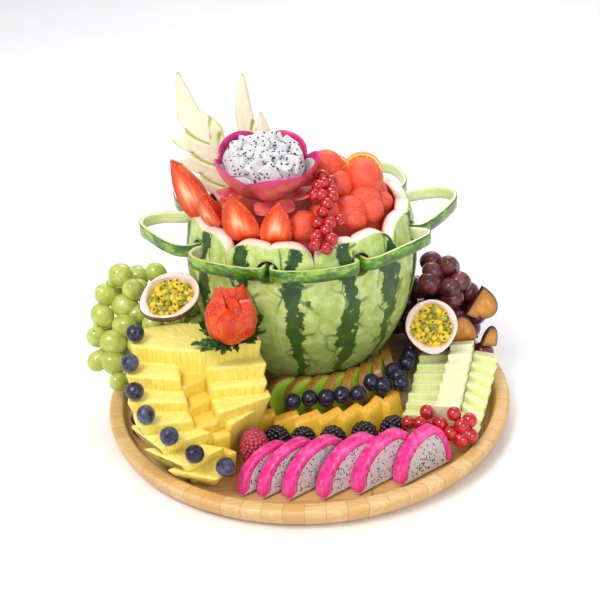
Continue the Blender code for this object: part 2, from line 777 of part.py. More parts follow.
def make_sprig(look):
    """A rosette of leaf blades in one thin sheet, two of them rising behind the rose."""
    foot = at(ROSE_PLACE[0], ROSE_PLACE[1] + 1, 123)
    columns = []
    for i, (heading, rise, length, bend) in enumerate(SPRIG_LEAVES):
        following = SPRIG_LEAVES[(i + 1) % len(SPRIG_LEAVES)]
        gap = (following[0] - heading) % 360.0
        columns.append((heading, rise, length, bend))
        columns.append((heading + 11.0, rise, length * 0.72, bend))
        columns.append((heading + gap / 2.0, 0.0, 9.0, bend))
        columns.append((following[0] - 11.0, following[1], following[2] * 0.72, following[3]))
    rows = []
    for heading, rise, length, bend in columns + columns[:1]:
        out = Vector((math.cos(math.radians(heading)), math.sin(math.radians(heading)), 0.0))
        row = []
        for share in (0.0, 0.35, 0.7, 1.0):
            run = 3.0 + share * (length - 3.0)
            raised = max(0.0, run - bend * length)
            flat = run - raised * (1.0 - math.cos(math.radians(rise)))
            slope = math.radians(rise) if raised > 0.0 else 0.0
            place = foot + (out * flat + Vector((0.0, 0.0, raised * math.sin(slope)))) * MM
            row.append((place, Vector((0.0, 0.0, math.cos(slope))) - out * math.sin(slope)))
        rows.append(row)
    return solid("rose_leaves", rosette(rows, 0.0011), look)


# ---------------------------------------------------------------- passion fruit, grapes and plums

def passion_half(frame, width=29.0, height=24.0):
    """Half a passion fruit: a drop-shaped cup with its pulp just below the rim. Its face is up."""
    sides = 16
    rings = []
    for shrink, depth in ((0.25, -25), (0.68, -20), (0.93, -10), (1.0, 0), (0.84, 0.3), (0.78, -3.0)):
        ring = []
        for k in range(sides):
            a = 2 * math.pi * k / sides
            point = 1.0 + 0.16 * max(0.0, math.cos(a)) ** 4
            ring.append(at(width * shrink * point * math.cos(a), height * shrink * math.sin(a), depth))
        rings.append(ring)
    return moved(loft(rings), frame)


def look_frame(place, normal, point_angle):
    """A frame with local Z on the normal; its point turns round the normal."""
    up = Vector(normal).normalized()
    turn = up.to_track_quat("Z", "Y").to_matrix().to_4x4()
    return Matrix.Translation(at(*place)) @ turn @ Matrix.Rotation(math.radians(point_angle), 4, "Z")


def clear_of_melon(place, margin):
    """Move a place out till it stands the margin off the watermelon."""
    out = Vector((place.x, place.y - MELON_Y, 0.0))
    short = melon_radius(place.z) + margin - out.length
    return place + out.normalized() * max(0.0, short)


def make_bunch(name, look, core, grapes, radius):
    """A bunch of grapes: a lumpy core with the grapes that show fused on."""
    shapes = []
    draw = random.Random(SEED + len(name))
    for place, radii in core:
        shapes.append(ball(at(*place), tuple(r * MM for r in radii), 7, 4))
    for x, y, z, size in grapes:
        r = radius * size
        tip, roll = draw.uniform(-0.6, 0.6), draw.uniform(-0.6, 0.6)
        turn = Matrix.Rotation(tip, 4, "X") @ Matrix.Rotation(roll, 4, "Y")
        place = clear_of_melon(at(x, y, z), r * 1.15)
        shapes.append(ball(place, (r * 1.14, r * 1.14, r * 1.14), 6, 3, turn))
    return fused(name, shapes, look)


GREEN_GRAPES = [(-184, 60, 129, 1.1), (-200, 50, 113, 0.95), (-181, 45, 102, 1.1), (-169, 64, 110, 0.95),
                (-150, 76, 122, 0.9), (-204, 39, 95, 1.0), (-210, 25, 79, 0.9), (-193, 20, 75, 1.1),
                (-210, 15, 57, 0.9), (-194, 10, 57, 1.05), (-189, -1, 41, 0.85), (-170, 40, 94, 0.95),
                (-152, 22, 92, 0.95), (-206, 54, 80, 1.0), (-203, 38, 50, 0.95)]
RED_GRAPES = [(127, 50, 108, 1.1), (132, 76, 120, 0.95), (147, 62, 121, 0.95),
              (132, 58, 117, 0.9), (147, 46, 104, 1.0), (158, 52, 107, 1.0), (150, 46, 93, 1.0),
              (169, 62, 90, 0.95), (152, 84, 108, 1.0), (119, 26, 72, 0.95),
              (137, 27, 72, 0.95), (162, 33, 42, 1.0), (181, 33, 34, 1.0)]


def back_grapes(angles, draw):
    """Grapes lying on the bunch's core along the back of the tray."""
    grapes = []
    for turn in angles:
        angle = math.radians(turn)
        r = 168 + draw.uniform(-4, 4)
        grapes.append((r * math.sin(angle), -r * math.cos(angle), 50 + draw.uniform(-6, 6),
                       draw.uniform(1.0, 1.15)))
    return grapes


def make_grapes(green_look, red_look):
    draw = random.Random(SEED)
    green = GREEN_GRAPES + back_grapes((-126, -144, -168), draw)
    green_core = [((-174, 58, 98), (17, 24, 27)), ((-190, 28, 66), (16, 24, 36)), ((-162, 40, 58), (24, 34, 45)),
                  ((-144, 84, 62), (30, 33, 44)), ((-112, 118, 46), (34, 27, 32)), ((-79, 145, 38), (22, 18, 24)),
                  ((-46, 160, 38), (32, 15, 24)), ((-14, 162, 34), (20, 13, 20))]
    red = RED_GRAPES + back_grapes((126, 144, 160), draw)
    red_core = [((148, 66, 94), (20, 24, 24)), ((150, 72, 58), (26, 30, 44)), ((126, 30, 57), (20, 13, 25)),
                ((171, 45, 50), (22, 14, 26)), ((132, 96, 54), (29, 32, 40)),
                ((104, 126, 46), (28, 22, 27)), ((78, 147, 38), (22, 17, 24)), ((48, 160, 36), (30, 15, 22))]
    return (make_bunch("green_grapes", green_look, green_core, green, 0.0115),
            make_bunch("red_grapes", red_look, red_core, red, 0.0112))


def make_plums(look, others):
    made = []
    rows = {"plum_2": ((161, 23, 54), 10.0, 4.0, -12.0, 14, 30, 5),
            "plum_3": ((185, 25, 48), 18.0, 0.0, 12.0, 9, 22, 5),
            "plum_1": ((171, 38, 95), 10.0, 8.0, 125.0, 17, 28, 6)}
    for name, (place, heading, lean, roll, half_width, height, thickness) in rows.items():
        slab = half_disc(half_width * MM, height * MM, thickness * MM, 8, 0.85)
        piece = solid(name, moved(slab, pose(at(*place), heading, lean, roll)), look)
        settle(piece, others + made, (0.0, 0.1, -1.0), 0.030)
        made.append(piece)
    return made


def make_left_plums(look, others):
    """Plum slices lying in a row beside the pineapple, against the rim."""
    shapes = []
    for k, (x, y) in enumerate(((-157, -28), (-153, -50))):
        slab = half_disc(0.015, 0.020, 0.005, 8)
        shapes.append(moved(slab, pose(at(x, y, 16 + 2 * k), 98.0 + 6 * k, 80.0)))
    made = fused("plums_left", shapes, look)
    return settle(made, others, (0.0, 0.0, -1.0), 0.030)


# ---------------------------------------------------------------- rows in front of the watermelon

KIWI_COUNT = 8


def make_kiwi(look):
    """Round slices standing in a row against the watermelon, each leaning on the last."""
    shapes = []
    for k in range(KIWI_COUNT):
        angle = -11.0 + 10.4 * k
        place = polar(angle, 0.1000, 0.0342)
        slab = round_slice(0.0220, 0.0100, 10)
        shapes.append(moved(slab, pose(place, angle + 33.0, 14.0)))
    return fused("kiwi_slices", shapes, look)


# the blueberries of the row: (x, y, z) in millimetres
BLUEBERRY_ROW = [(-16, -62, 43), (0, -59, 44), (16, -58, 43), (31, -56, 44), (47, -54, 43), (61, -39, 46),
                 (72, -43, 44), (83, -22, 47), (88, -31, 46), (90, -41, 44), (98, -6, 46), (103, 12, 45)]


def make_blueberry_row(look, others):
    made = fused("blueberry_row", strand(BLUEBERRY_ROW, BLUEBERRY_RADIUS), look)
    return settle(made, others, (0.0, 0.0, -1.0), 0.020)


# mango pieces from left to right: angle round the watermelon, half width and height in degrees and millimetres
MANGO = [(-19, 13, 31), (-10, 15, 30), (-1, 16, 30), (8, 16, 30), (17, 16, 30), (27, 15, 31), (36, 14, 31)]
MANGO_RING = 0.1340


def make_mango(look):
    """Wedges of mango standing in a row, each overlapping the next."""
    shapes = []
    for angle, half_width, height in MANGO:
        low = [at(-half_width, -9, 0), at(half_width, -9, 0), at(half_width, 8, 0), at(-half_width, 8, 0)]
        top = [at(-half_width + 3, -1, height - 4), at(half_width - 2, 0, height), at(half_width - 4, 4, height - 1),
               at(-half_width + 4, 4, height - 4)]
        place = polar(angle, MANGO_RING, FLOOR_REST)
        shapes.append(moved(wedge_block(low, top), pose(place, angle + 22.0)))
    return fused("mango", shapes, look)


BRAMBLES = [(-32, -92), (-8, -95), (20, -96), (50, -92), (77, -84)]


def make_brambles(look, others):
    made = []
    for k, (x, y) in enumerate(BRAMBLES):
        radii = (0.0120, 0.0120, 0.0140)
        berry = solid(f"bramble_{k + 1}", ball(at(x, y, 27), radii, 9, 5, bumps=0.05), look)
        settle(berry, others + made, (0.0, 0.0, -1.0), 0.020)
        made.append(berry)
    return made


def make_raspberry(look, others):
    shape = ball(at(-53, -113, 34), (0.0135, 0.0130, 0.0213), 9, 5, bumps=0.045)
    return settle(solid("raspberry", shape, look), others, (0.0, 0.0, -1.0), 0.020)


# dragon-fruit slices from left to right: front corner (x, y) on the tray, heading and lean, then the length,
# where along it the slice is highest, its height and its thickness, in millimetres and degrees
DRAGON_SLICES = [((-64, -160), 35, 10, 68, 44, 34, 11), ((-45, -165), 35, 9, 72, 48, 38, 12),
                 ((-22, -169), 36, 8, 76, 51, 40, 13), ((9, -171), 36, 8, 78, 52, 41, 14),
                 ((40, -166), 36, 8, 76, 51, 41, 14), ((79, -157), 36, 8, 62, 43, 41, 14)]


def dragon_outline(length, peak, height):
    """A slice's outline from its front corner: it rises to the peak and falls steeply behind it."""
    outline = []
    for k in range(7):
        a = math.pi / 2.0 * k / 6.0
        outline.append((peak * (1.0 - math.cos(a)), height * math.sin(a)))
    for k in range(1, 5):
        a = math.pi / 2.0 * k / 4.0
        outline.append((peak + (length - peak) * math.sin(a), height * math.cos(a)))
    return [(x * MM, z * MM) for x, z in reversed(outline)]


def make_dragon_slices(look):
    made = []
    for k, (corner, heading, lean, length, peak, height, thickness) in enumerate(DRAGON_SLICES):
        lift = thickness * math.sin(math.radians(lean))
        frame = pose(at(corner[0], corner[1], FLOOR_REST / MM + lift), heading, lean)
        slab = outline_slab(dragon_outline(length, peak, height), thickness * MM)
        made.append(solid(f"dragon_slice_{k + 1}", moved(slab, frame), look))
    return made


# honeydew columns: corners of the top at the back and at the front, left then right, with their heights
HONEYDEW = {
    "honeydew_left": (((116, 19, 50), (146, 18, 50)), ((87, -76, 33), (115, -82, 33))),
    "honeydew_middle": (((147, 18, 61), (168.5, 19, 61)), ((116, -82, 45), (138, -86, 45))),
    "honeydew_right": (((170, 19, 49), (196, 14, 46)), ((139.5, -87, 36), (155, -104, 26))),
}
HONEYDEW_STEPS = 7


def make_honeydew(look):
    made = []
    for name, (rear, front) in HONEYDEW.items():
        shapes = []
        for k in range(HONEYDEW_STEPS):
            ends = []
            for share, rise in ((k / HONEYDEW_STEPS, -1.2), ((k + 1) / HONEYDEW_STEPS + 0.012, 1.4)):
                for a, b in zip(rear, front):
                    corner = Vector(a).lerp(Vector(b), share)
                    step_height = a[2] + (b[2] - a[2]) * (k + 0.5) / HONEYDEW_STEPS
                    ends.append((corner.x, corner.y, step_height + rise))
            jog = 0.5 if k % 2 and name != "honeydew_right" else 0.0
            back_left, back_right, front_left, front_right = ends
            corners = [front_left, front_right, back_right, back_left]
            top = [at(x + jog, y, z) for x, y, z in corners]
            low = []
            for x, y, _ in corners:
                reach = math.hypot(x, y)
                pull = min(1.0, (FLOOR_RADIUS / MM - 2.5) / reach)
                low.append(Vector((x * pull * MM, y * pull * MM, FLOOR_REST)))
            shapes.append(wedge_block(low, top))
        made.append(fused(name, shapes, look))
    return made


FRONT_CURRANTS = [(109, -89, 41), (102, -97, 33), (91, -94, 33), (112, -90, 30), (121, -98, 33), (129, -107, 28),
                  (140, -107, 37), (133, -99, 44), (147, -102, 38), (142, -108, 29), (147, -111, 27),
                  (138, -112, 24)]


def make_front_currants(look, others):
    made = fused("currants_front", strand(FRONT_CURRANTS, 0.0072), look)
    return settle(made, others, (0.0, 0.0, -1.0), 0.030)


# ---------------------------------------------------------------- assembly

def main():
    clear_scene()
    bamboo = finish("bamboo", (0.72, 0.47, 0.23), 0.45)
    melon_skin = finish("melon_skin", (0.24, 0.42, 0.10), 0.35)
    rind = finish("rind", (0.16, 0.36, 0.06), 0.35)
    watermelon = finish("watermelon", (0.80, 0.10, 0.06), 0.35)
    dragon_skin = finish("dragon_skin", (0.75, 0.04, 0.22), 0.40)
    dragon_flesh = finish("dragon_flesh", (0.78, 0.76, 0.76), 0.45)
    pale_melon = finish("pale_melon", (0.78, 0.86, 0.55), 0.45)
    strawberry = finish("strawberry", (0.83, 0.10, 0.03), 0.35)
    orange = finish("orange", (0.95, 0.42, 0.03), 0.35)
    currant = finish("currant", (0.62, 0.01, 0.02), 0.20)
    pineapple_flesh = finish("pineapple_flesh", (0.88, 0.68, 0.16), 0.45)
    blueberry = finish("blueberry", (0.04, 0.05, 0.12), 0.50)
    herb = finish("herb", (0.03, 0.12, 0.02), 0.50)
    passion = finish("passion", (0.45, 0.18, 0.14), 0.45)
    green_grape = finish("green_grape", (0.50, 0.62, 0.12), 0.25)
    red_grape = finish("red_grape", (0.14, 0.02, 0.04), 0.25)
    plum = finish("plum", (0.50, 0.22, 0.06), 0.40)
    kiwi = finish("kiwi", (0.30, 0.42, 0.05), 0.45)
    mango = finish("mango", (0.90, 0.52, 0.05), 0.40)
    bramble = finish("bramble", (0.02, 0.01, 0.02), 0.30)
    raspberry = finish("raspberry", (0.62, 0.05, 0.09), 0.40)
    honeydew = finish("honeydew", (0.72, 0.82, 0.42), 0.45)

    tray = make_tray(bamboo)
    melon = make_melon(melon_skin)
    strips = [make_strip(name, start, knots, rind) for name, (start, knots) in STRIPS.items()]
    basket = [tray, melon] + strips

    heap = make_heap(watermelon)
    flower = make_flower(dragon_skin, dragon_flesh, [melon, heap])
    leaves = make_carved_leaves(pale_melon, [melon, heap] + list(flower))
    top = [melon, heap] + list(flower) + leaves
    top += make_strawberries(strawberry, top)
    top += make_orange_slices(orange, top)
    make_hanging_currants(currant, top + strips)

    pineapple = make_pineapple(pineapple_flesh)
    make_pineapple_berries(blueberry, pineapple)
    sprig = settle(make_sprig(herb), [pineapple, melon] + strips, (0.0, -0.2, -1.0), 0.010)
    make_rose(strawberry, [pineapple, melon, sprig] + strips)

    green, red = make_grapes(green_grape, red_grape)
    columns = make_honeydew(honeydew)
    piles = basket + [pineapple, green, red] + columns
    left_frame = look_frame((-127, -10, 143), (0.10, -0.54, 0.84), 205.0)
    left_half = solid("passion_left", passion_half(left_frame), passion)
    settle(left_half, piles, (0.0, 0.1, -1.0), 0.020)
    right_frame = look_frame((124, 0, 94), (-0.15, -0.85, 0.52), -80.0)
    right_half = solid("passion_right", passion_half(right_frame, 25.5, 26.0), passion)
    settle(right_half, piles, (0.0, 0.3, -1.0), 0.008)
    make_plums(plum, piles + [right_half])
    make_left_plums(plum, basket + [pineapple, green])

    kiwi_slices = make_kiwi(kiwi)
    mango_row = make_mango(mango)
    rows = [tray, melon, pineapple, kiwi_slices, mango_row] + columns
    slices = make_dragon_slices(dragon_skin)
    make_blueberry_row(blueberry, rows + slices)
    berries = make_brambles(bramble, rows + slices)
    red_berry = make_raspberry(raspberry, rows + slices + berries)
    make_front_currants(currant, rows + slices + berries + [red_berry])


main()
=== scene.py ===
import math
import random

import bmesh
import bpy
import numpy as np
from mathutils import Matrix, Vector, noise


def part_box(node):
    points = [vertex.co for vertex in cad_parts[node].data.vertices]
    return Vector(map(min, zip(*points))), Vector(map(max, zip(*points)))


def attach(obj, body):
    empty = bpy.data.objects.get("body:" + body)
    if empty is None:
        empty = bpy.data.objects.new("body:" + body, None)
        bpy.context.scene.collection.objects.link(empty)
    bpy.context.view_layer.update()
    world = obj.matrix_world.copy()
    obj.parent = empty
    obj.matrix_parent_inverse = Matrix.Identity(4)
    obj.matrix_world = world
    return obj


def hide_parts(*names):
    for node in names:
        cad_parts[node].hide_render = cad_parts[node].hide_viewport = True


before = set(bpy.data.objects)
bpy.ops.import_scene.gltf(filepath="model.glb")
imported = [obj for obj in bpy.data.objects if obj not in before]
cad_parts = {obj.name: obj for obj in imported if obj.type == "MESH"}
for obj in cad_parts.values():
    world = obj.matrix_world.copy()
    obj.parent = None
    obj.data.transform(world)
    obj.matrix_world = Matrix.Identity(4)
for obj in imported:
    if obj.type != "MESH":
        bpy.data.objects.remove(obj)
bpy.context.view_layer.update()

mm = 0.001


# shapes: points in millimetres, faces, and three values that the finishes read at each point

def shapeOf(points, faces, tone=0.5):
    points = np.asarray(points, float)
    return {
        "points": points,
        "faces": faces,
        "local": points.copy(),  # place within the piece
        "tone": np.full(len(points), float(tone)),  # one chance value for each fruit
        "zone": np.full(len(points), 0.0),  # 0 flesh to 1 skin, or what the finish says
    }


def joined(shapes):
    faces = []
    start = 0
    for shape in shapes:
        faces.extend([[i + start for i in face] for face in shape["faces"]])
        start += len(shape["points"])
    made = {}
    for key in ("points", "local", "tone", "zone"):
        made[key] = np.concatenate([shape[key] for shape in shapes])
    made["faces"] = faces
    return made


def placed(shape, matrix):
    turn = np.array(matrix)
    return {**shape, "points": shape["points"] @ turn[:3, :3].T + turn[:3, 3]}


def shifted(shape, move):
    return {**shape, "points": shape["points"] + np.array(move)}


def spot(x, y, z):
    return Matrix.Translation(Vector((x, y, z)))


def turned(degrees, axis):
    return Matrix.Rotation(math.radians(degrees), 4, axis)


def pose(place, heading=0.0, lean=0.0, roll=0.0):
    # local X along the heading, local Z up and leaning back, local -Y is the cut face
    return spot(*place) @ turned(heading, "Z") @ turned(-lean, "X") @ turned(roll, "Y")


def facing(place, normal, spin=0.0):
    # local Z on the normal, turned about it by the spin
    turn = Vector(normal).normalized().to_track_quat("Z", "Y").to_matrix().to_4x4()
    return spot(*place) @ turn @ turned(spin, "Z")


def tumbled(draw, reach):
    # a chance tilt about X and then about Y, each up to the reach in radians
    first = Matrix.Rotation(draw.uniform(-reach, reach), 4, "X")
    return first @ Matrix.Rotation(draw.uniform(-reach, reach), 4, "Y")


def aroundCircle(count):
    return np.arange(count) * 2 * math.pi / count


def nodeBox(node):
    low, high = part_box(node)
    return np.array(low) / mm, np.array(high) / mm


def matched(shape, node, foot=False):
    # moves a piece onto its CAD node: middle on middle, and with foot also its underside on the node's
    low, high = nodeBox(node)
    ownLow, ownHigh = shape["points"].min(0), shape["points"].max(0)
    move = (low + high) / 2 - (ownLow + ownHigh) / 2
    if foot:
        move[2] = low[2] - ownLow[2]
    return shifted(shape, move)


def loft(rings, tone=0.5):
    # closed rings of equal count, joined in order, with a fan over the first and over the last
    rings = np.asarray(rings, float)
    rows, around = rings.shape[:2]
    points = rings.reshape(-1, 3)
    i, j = np.meshgrid(np.arange(rows - 1), np.arange(around), indexing="ij")
    a = i * around + j
    b = i * around + (j + 1) % around
    faces = np.stack([a, b, b + around, a + around], -1).reshape(-1, 4).tolist()
    for ring, first in ((0, 0), (-1, (rows - 1) * around)):
        points = np.vstack([points, rings[ring].mean(0)])
        middle = len(points) - 1
        for k in range(around):
            pair = [first + k, first + (k + 1) % around]
            faces.append([middle] + (pair[::-1] if ring == 0 else pair))
    return shapeOf(points, faces, tone)


def lathe(profile, sides=48, tone=0.5):
    turn = aroundCircle(sides)
    rings = [np.stack([r * np.cos(turn), r * np.sin(turn), np.full(sides, z)], -1) for r, z in profile]
    return loft(rings, tone)


def orb(radii, sides=24, rows=15, tone=0.5):
    rx, ry, rz = (radii,) * 3 if isinstance(radii, (int, float)) else radii
    down = np.linspace(0.0, math.pi, rows + 2)[1:-1]
    turn = aroundCircle(sides)
    rings = [np.stack([rx * math.sin(d) * np.cos(turn), ry * math.sin(d) * np.sin(turn),
                       np.full(sides, -rz * math.cos(d))], -1) for d in down]
    made = loft(rings, tone)
    made["points"][-2] = (0, 0, -rz)
    made["points"][-1] = (0, 0, rz)
    made["local"] = made["points"] / np.array([rx, ry, rz])
    return made


def tube(path, radius, sides=8):
    path = np.asarray(path, float)
    turn = aroundCircle(sides)
    rings = []
    for k, point in enumerate(path):
        along = path[min(k + 1, len(path) - 1)] - path[max(k - 1, 0)]
        along /= max(np.linalg.norm(along), 1e-9)
        side = np.cross(along, (0.31, 0.27, 0.91))  # any way that no tube runs along
        side /= max(np.linalg.norm(side), 1e-9)
        upward = np.cross(along, side)
        rings.append(point + radius * (np.outer(np.cos(turn), side) + np.outer(np.sin(turn), upward)))
    return loft(rings)


def curveThrough(knots, steps):
    # points on a smooth curve through the knots
    knots = np.asarray(knots, float)
    padded = np.vstack([knots[:1], knots, knots[-1:]])
    path = []
    for k in range(len(knots) - 1):
        a, b, c, d = padded[k:k + 4]
        for t in np.arange(steps) / steps:
            path.append(0.5 * (2 * b + (c - a) * t + (2 * a - 5 * b + 4 * c - d) * t * t
                               + (3 * b - a - 3 * c + d) * t ** 3))
    path.append(knots[-1])
    return np.array(path)


def outwardOf(points, faces):
    total = np.zeros_like(points)
    for size in (3, 4):
        group = np.array([face for face in faces if len(face) == size])
        if len(group):
            first = points[group[:, 2]] - points[group[:, 0]]
            across = np.cross(first, points[group[:, -1]] - points[group[:, 1]])
            for corner in range(size):
                np.add.at(total, group[:, corner], across)
    return total / np.maximum(np.linalg.norm(total, axis=1, keepdims=True), 1e-12)


def noiseAt(points, scale, seed=0):
    stretch = np.asarray(points) * np.asarray(scale, float) + seed * 17.3
    return np.array([noise.noise(Vector(p)) for p in stretch])


def roughened(shape, amount, scale, seed=0):
    # lifts and sinks the surface by a soft chance pattern; scale is per millimetre
    lift = noiseAt(shape["points"], scale, seed) * amount
    return {**shape, "points": shape["points"] + outwardOf(shape["points"], shape["faces"]) * lift[:, None]}


def slab(outline, depth, edge=1.2, dome=0.0, spread=14):
    # a slice from an outline in local X and Z: cut face at -Y, thick along +Y, with round edges
    outline = np.asarray(outline, float)
    middle = outline.mean(0)
    edgeSteps = 4
    rows = []
    for k in range(spread):  # the front face, from its middle out to the edge
        share = (k + 1) / spread
        rows.append((share, -dome * (1 - share ** 2), 0.0))
    for k in range(1, edgeSteps + 1):
        a = math.pi / 2 * k / edgeSteps
        rows.append((1.0, edge * (1 - math.cos(a)), edge * math.sin(a)))
    rings = []
    reach = np.linalg.norm(outline - middle, axis=1).mean()
    for share, y, grow in rows:
        ring = middle + (outline - middle) * share * (1 - (edge - grow) / reach)
        rings.append(np.stack([ring[:, 0], np.full(len(ring), y), ring[:, 1]], -1))
    back = [(r * np.array([1, -1, 1]) + np.array([0, depth, 0])) for r in rings[::-1]]
    made = loft(rings + back)
    front = np.concatenate([np.full(len(outline), row[0]) for row in rows])
    made["zone"] = np.concatenate([front, front[::-1], [0.0, 0.0]])  # 0 in a face's middle, 1 at the skin
    return made


def makePiece(name, shape, nodes, finish, crease=40.0):
    mesh = bpy.data.meshes.new(name)
    mesh.from_pydata((shape["points"] * mm).tolist(), [], shape["faces"])
    mesh.attributes.new("local", "FLOAT_VECTOR", "POINT").data.foreach_set("vector", shape["local"].ravel())
    for key in ("tone", "zone"):
        mesh.attributes.new(key, "FLOAT", "POINT").data.foreach_set("value", shape[key])
    work = bmesh.new()
    work.from_mesh(mesh)
    bmesh.ops.recalc_face_normals(work, faces=work.faces)
    work.to_mesh(mesh)
    work.free()
    mesh.shade_smooth()
    if crease:
        mesh.set_sharp_from_angle(angle=math.radians(crease))
    made = bpy.data.objects.new(name, mesh)
    bpy.context.scene.collection.objects.link(made)
    mesh.materials.append(finish)
    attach(made, "root")
    if nodes:
        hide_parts(*nodes)
    return made


# finishes: small helpers for node trees

class Value:
    # a node's output, which plain sums turn into maths nodes
    def __init__(self, socket):
        self.socket = socket

    def __add__(self, other):
        return calc("ADD", self, other)

    def __sub__(self, other):
        return calc("SUBTRACT", self, other)

    def __rsub__(self, other):
        return calc("SUBTRACT", other, self)

    def __mul__(self, other):
        return calc("MULTIPLY", self, other)

    def __truediv__(self, other):
        return calc("DIVIDE", self, other)


def tint(text):
    # a colour in hex as the linear values that Blender wants
    channels = [int(text[k:k + 2], 16) / 255 for k in (0, 2, 4)]
    return tuple(c / 12.92 if c <= 0.04045 else ((c + 0.055) / 1.055) ** 2.4 for c in channels) + (1.0,)


def newFinish(name, roughness=0.4, **sockets):
    made = bpy.data.materials.new(name)
    made.use_nodes = True
    shader = made.node_tree.nodes["Principled BSDF"]
    shader.inputs["Roughness"].default_value = roughness
    for key, value in sockets.items():
        shader.inputs[key.replace("_", " ")].default_value = value
    return made, shader


def feed(value, socket):
    if isinstance(value, Value):
        socket.id_data.links.new(value.socket, socket)
    elif isinstance(value, str):
        socket.default_value = tint(value)
    else:
        socket.default_value = value


def addTo(tree, kind, inputs, output=0, **settings):
    made = tree.nodes.new("ShaderNode" + kind)
    for key, value in settings.items():
        setattr(made, key, value)
    for key, value in inputs.items():
        feed(value, made.inputs[key])
    return Value(made.outputs[output])


def add(kind, inputs, output=0, **settings):
    # the new node goes into the tree that the first value among its inputs comes from
    first = next(value for value in inputs.values() if isinstance(value, Value))
    return addTo(first.socket.id_data, kind, inputs, output, **settings)


def read(shader, name):
    output = "Vector" if name == "local" else "Fac"
    return addTo(shader.id_data, "Attribute", {}, output, attribute_name=name)


def stretched(vector, scale):
    return add("Mapping", {"Vector": vector, "Scale": scale})


def cloudy(vector, scale, detail=3.0, rough=0.55):
    return add("TexNoise", {"Vector": vector, "Scale": scale, "Detail": detail, "Roughness": rough}, "Fac")


def cells(vector, scale, feature="F1", chance=1.0):
    inputs = {"Vector": vector, "Scale": scale, "Randomness": chance}
    return add("TexVoronoi", inputs, "Distance", feature=feature)


def calc(kind, a, b=0.5, c=0.0):
    return add("Math", {0: a, 1: b, 2: c}, operation=kind)


def over(value, limit):
    return calc("GREATER_THAN", value, limit)


def under(value, limit):
    return calc("LESS_THAN", value, limit)


def between(value, low, high, top=1.0, bottom=0.0):
    # goes from bottom to top as the value goes from low to high, and stays there beyond
    limits = {"From Min": low, "From Max": high, "To Min": bottom, "To Max": top}
    return add("MapRange", {"Value": value, **limits})


def ramp(value, stops):
    made = value.socket.id_data.nodes.new("ShaderNodeValToRGB")
    feed(value, made.inputs["Fac"])
    bar = made.color_ramp.elements
    while len(bar) < len(stops):
        bar.new(0.5)
    for element, (place, colour) in zip(bar, stops):
        element.position = place
        element.color = tint(colour)
    return Value(made.outputs["Color"])


def mixed(share, a, b):
    return add("Mix", {0: share, 6: a, 7: b}, 2, data_type="RGBA")


def parts(vector):
    made = vector.socket.id_data.nodes.new("ShaderNodeSeparateXYZ")
    feed(vector, made.inputs[0])
    return [Value(socket) for socket in made.outputs]


def together(x, y, z):
    return add("CombineXYZ", {"X": x, "Y": y, "Z": z})


def movedBy(place, tone, reach):
    # each fruit reads another part of the pattern
    return add("VectorMath", {0: place, 1: together(tone * reach, 0.0, 0.0)}, operation="ADD")


def relief(shader, height, strength=0.4, depth=0.001):
    bump = add("Bump", {"Height": height, "Strength": strength, "Distance": depth}, "Normal")
    feed(bump, shader.inputs["Normal"])


def colourOf(shader, colour):
    feed(colour, shader.inputs["Base Color"])


def shineOf(shader, value, low, high):
    feed(between(value, 0.0, 1.0, high, low), shader.inputs["Roughness"])


def block(low, top, rounding=2.0, cuts=5, tone=0.5):
    # a block with soft edges between a lower and an upper four-cornered face, corners going round
    corners = np.array([low, top], float)  # front left, front right, back right, back left
    spans = [np.linalg.norm(corners[:, 1] - corners[:, 0], axis=1).mean(),
             np.linalg.norm(corners[:, 3] - corners[:, 0], axis=1).mean(),
             np.linalg.norm(corners[1] - corners[0], axis=1).mean()]
    edge = np.array([min(0.9, 2 * rounding / span) for span in spans])
    steps = []
    for axis in range(3):
        ends = -1 + edge[axis] * np.array([0, 0.12, 0.35, 0.65, 1.0])
        inside = np.linspace(ends[-1], -ends[-1], cuts + 1)[1:-1]
        steps.append(np.concatenate([ends, inside, -ends[::-1]]))
    count = len(steps[0]) - 1
    keys, points, faces = {}, [], []

    def number(p):
        key = tuple(np.round(p, 5))
        if key not in keys:
            keys[key] = len(points)
            points.append(p)
        return keys[key]

    for axis in range(3):
        one, two = (axis + 1) % 3, (axis + 2) % 3
        for side in (-1.0, 1.0):
            for i in range(count):
                for j in range(count):
                    quad = []
                    for u, v in ((i, j), (i + 1, j), (i + 1, j + 1), (i, j + 1)):
                        p = np.zeros(3)
                        p[axis], p[one], p[two] = side, steps[one][u], steps[two][v]
                        quad.append(number(p))
                    faces.append(quad if side > 0 else quad[::-1])
    points = np.array(points)
    inner = np.clip(points, -(1 - edge), 1 - edge)
    out = (points - inner) / edge
    size = np.linalg.norm(out, axis=1, keepdims=True)
    soft = inner + out / np.maximum(size, 1.0) * edge
    x, y, z = ((soft + 1) / 2).T
    weights = np.stack([(1 - x) * (1 - y), x * (1 - y), x * y, (1 - x) * y], -1)
    flat = [weights @ corners[k] for k in (0, 1)]
    made = shapeOf(flat[0] * (1 - z)[:, None] + flat[1] * z[:, None], faces, tone)
    made["local"] = soft
    return made


def cube(size, matrix):
    h = size / 2
    square = [(-h, -h), (h, -h), (h, h), (-h, h)]
    made = block([(x, y, -h) for x, y in square], [(x, y, h) for x, y in square], 1.8, 4)
    made["local"] = made["points"].copy()
    return placed(made, matrix)


# tray: one turned board of bamboo staves

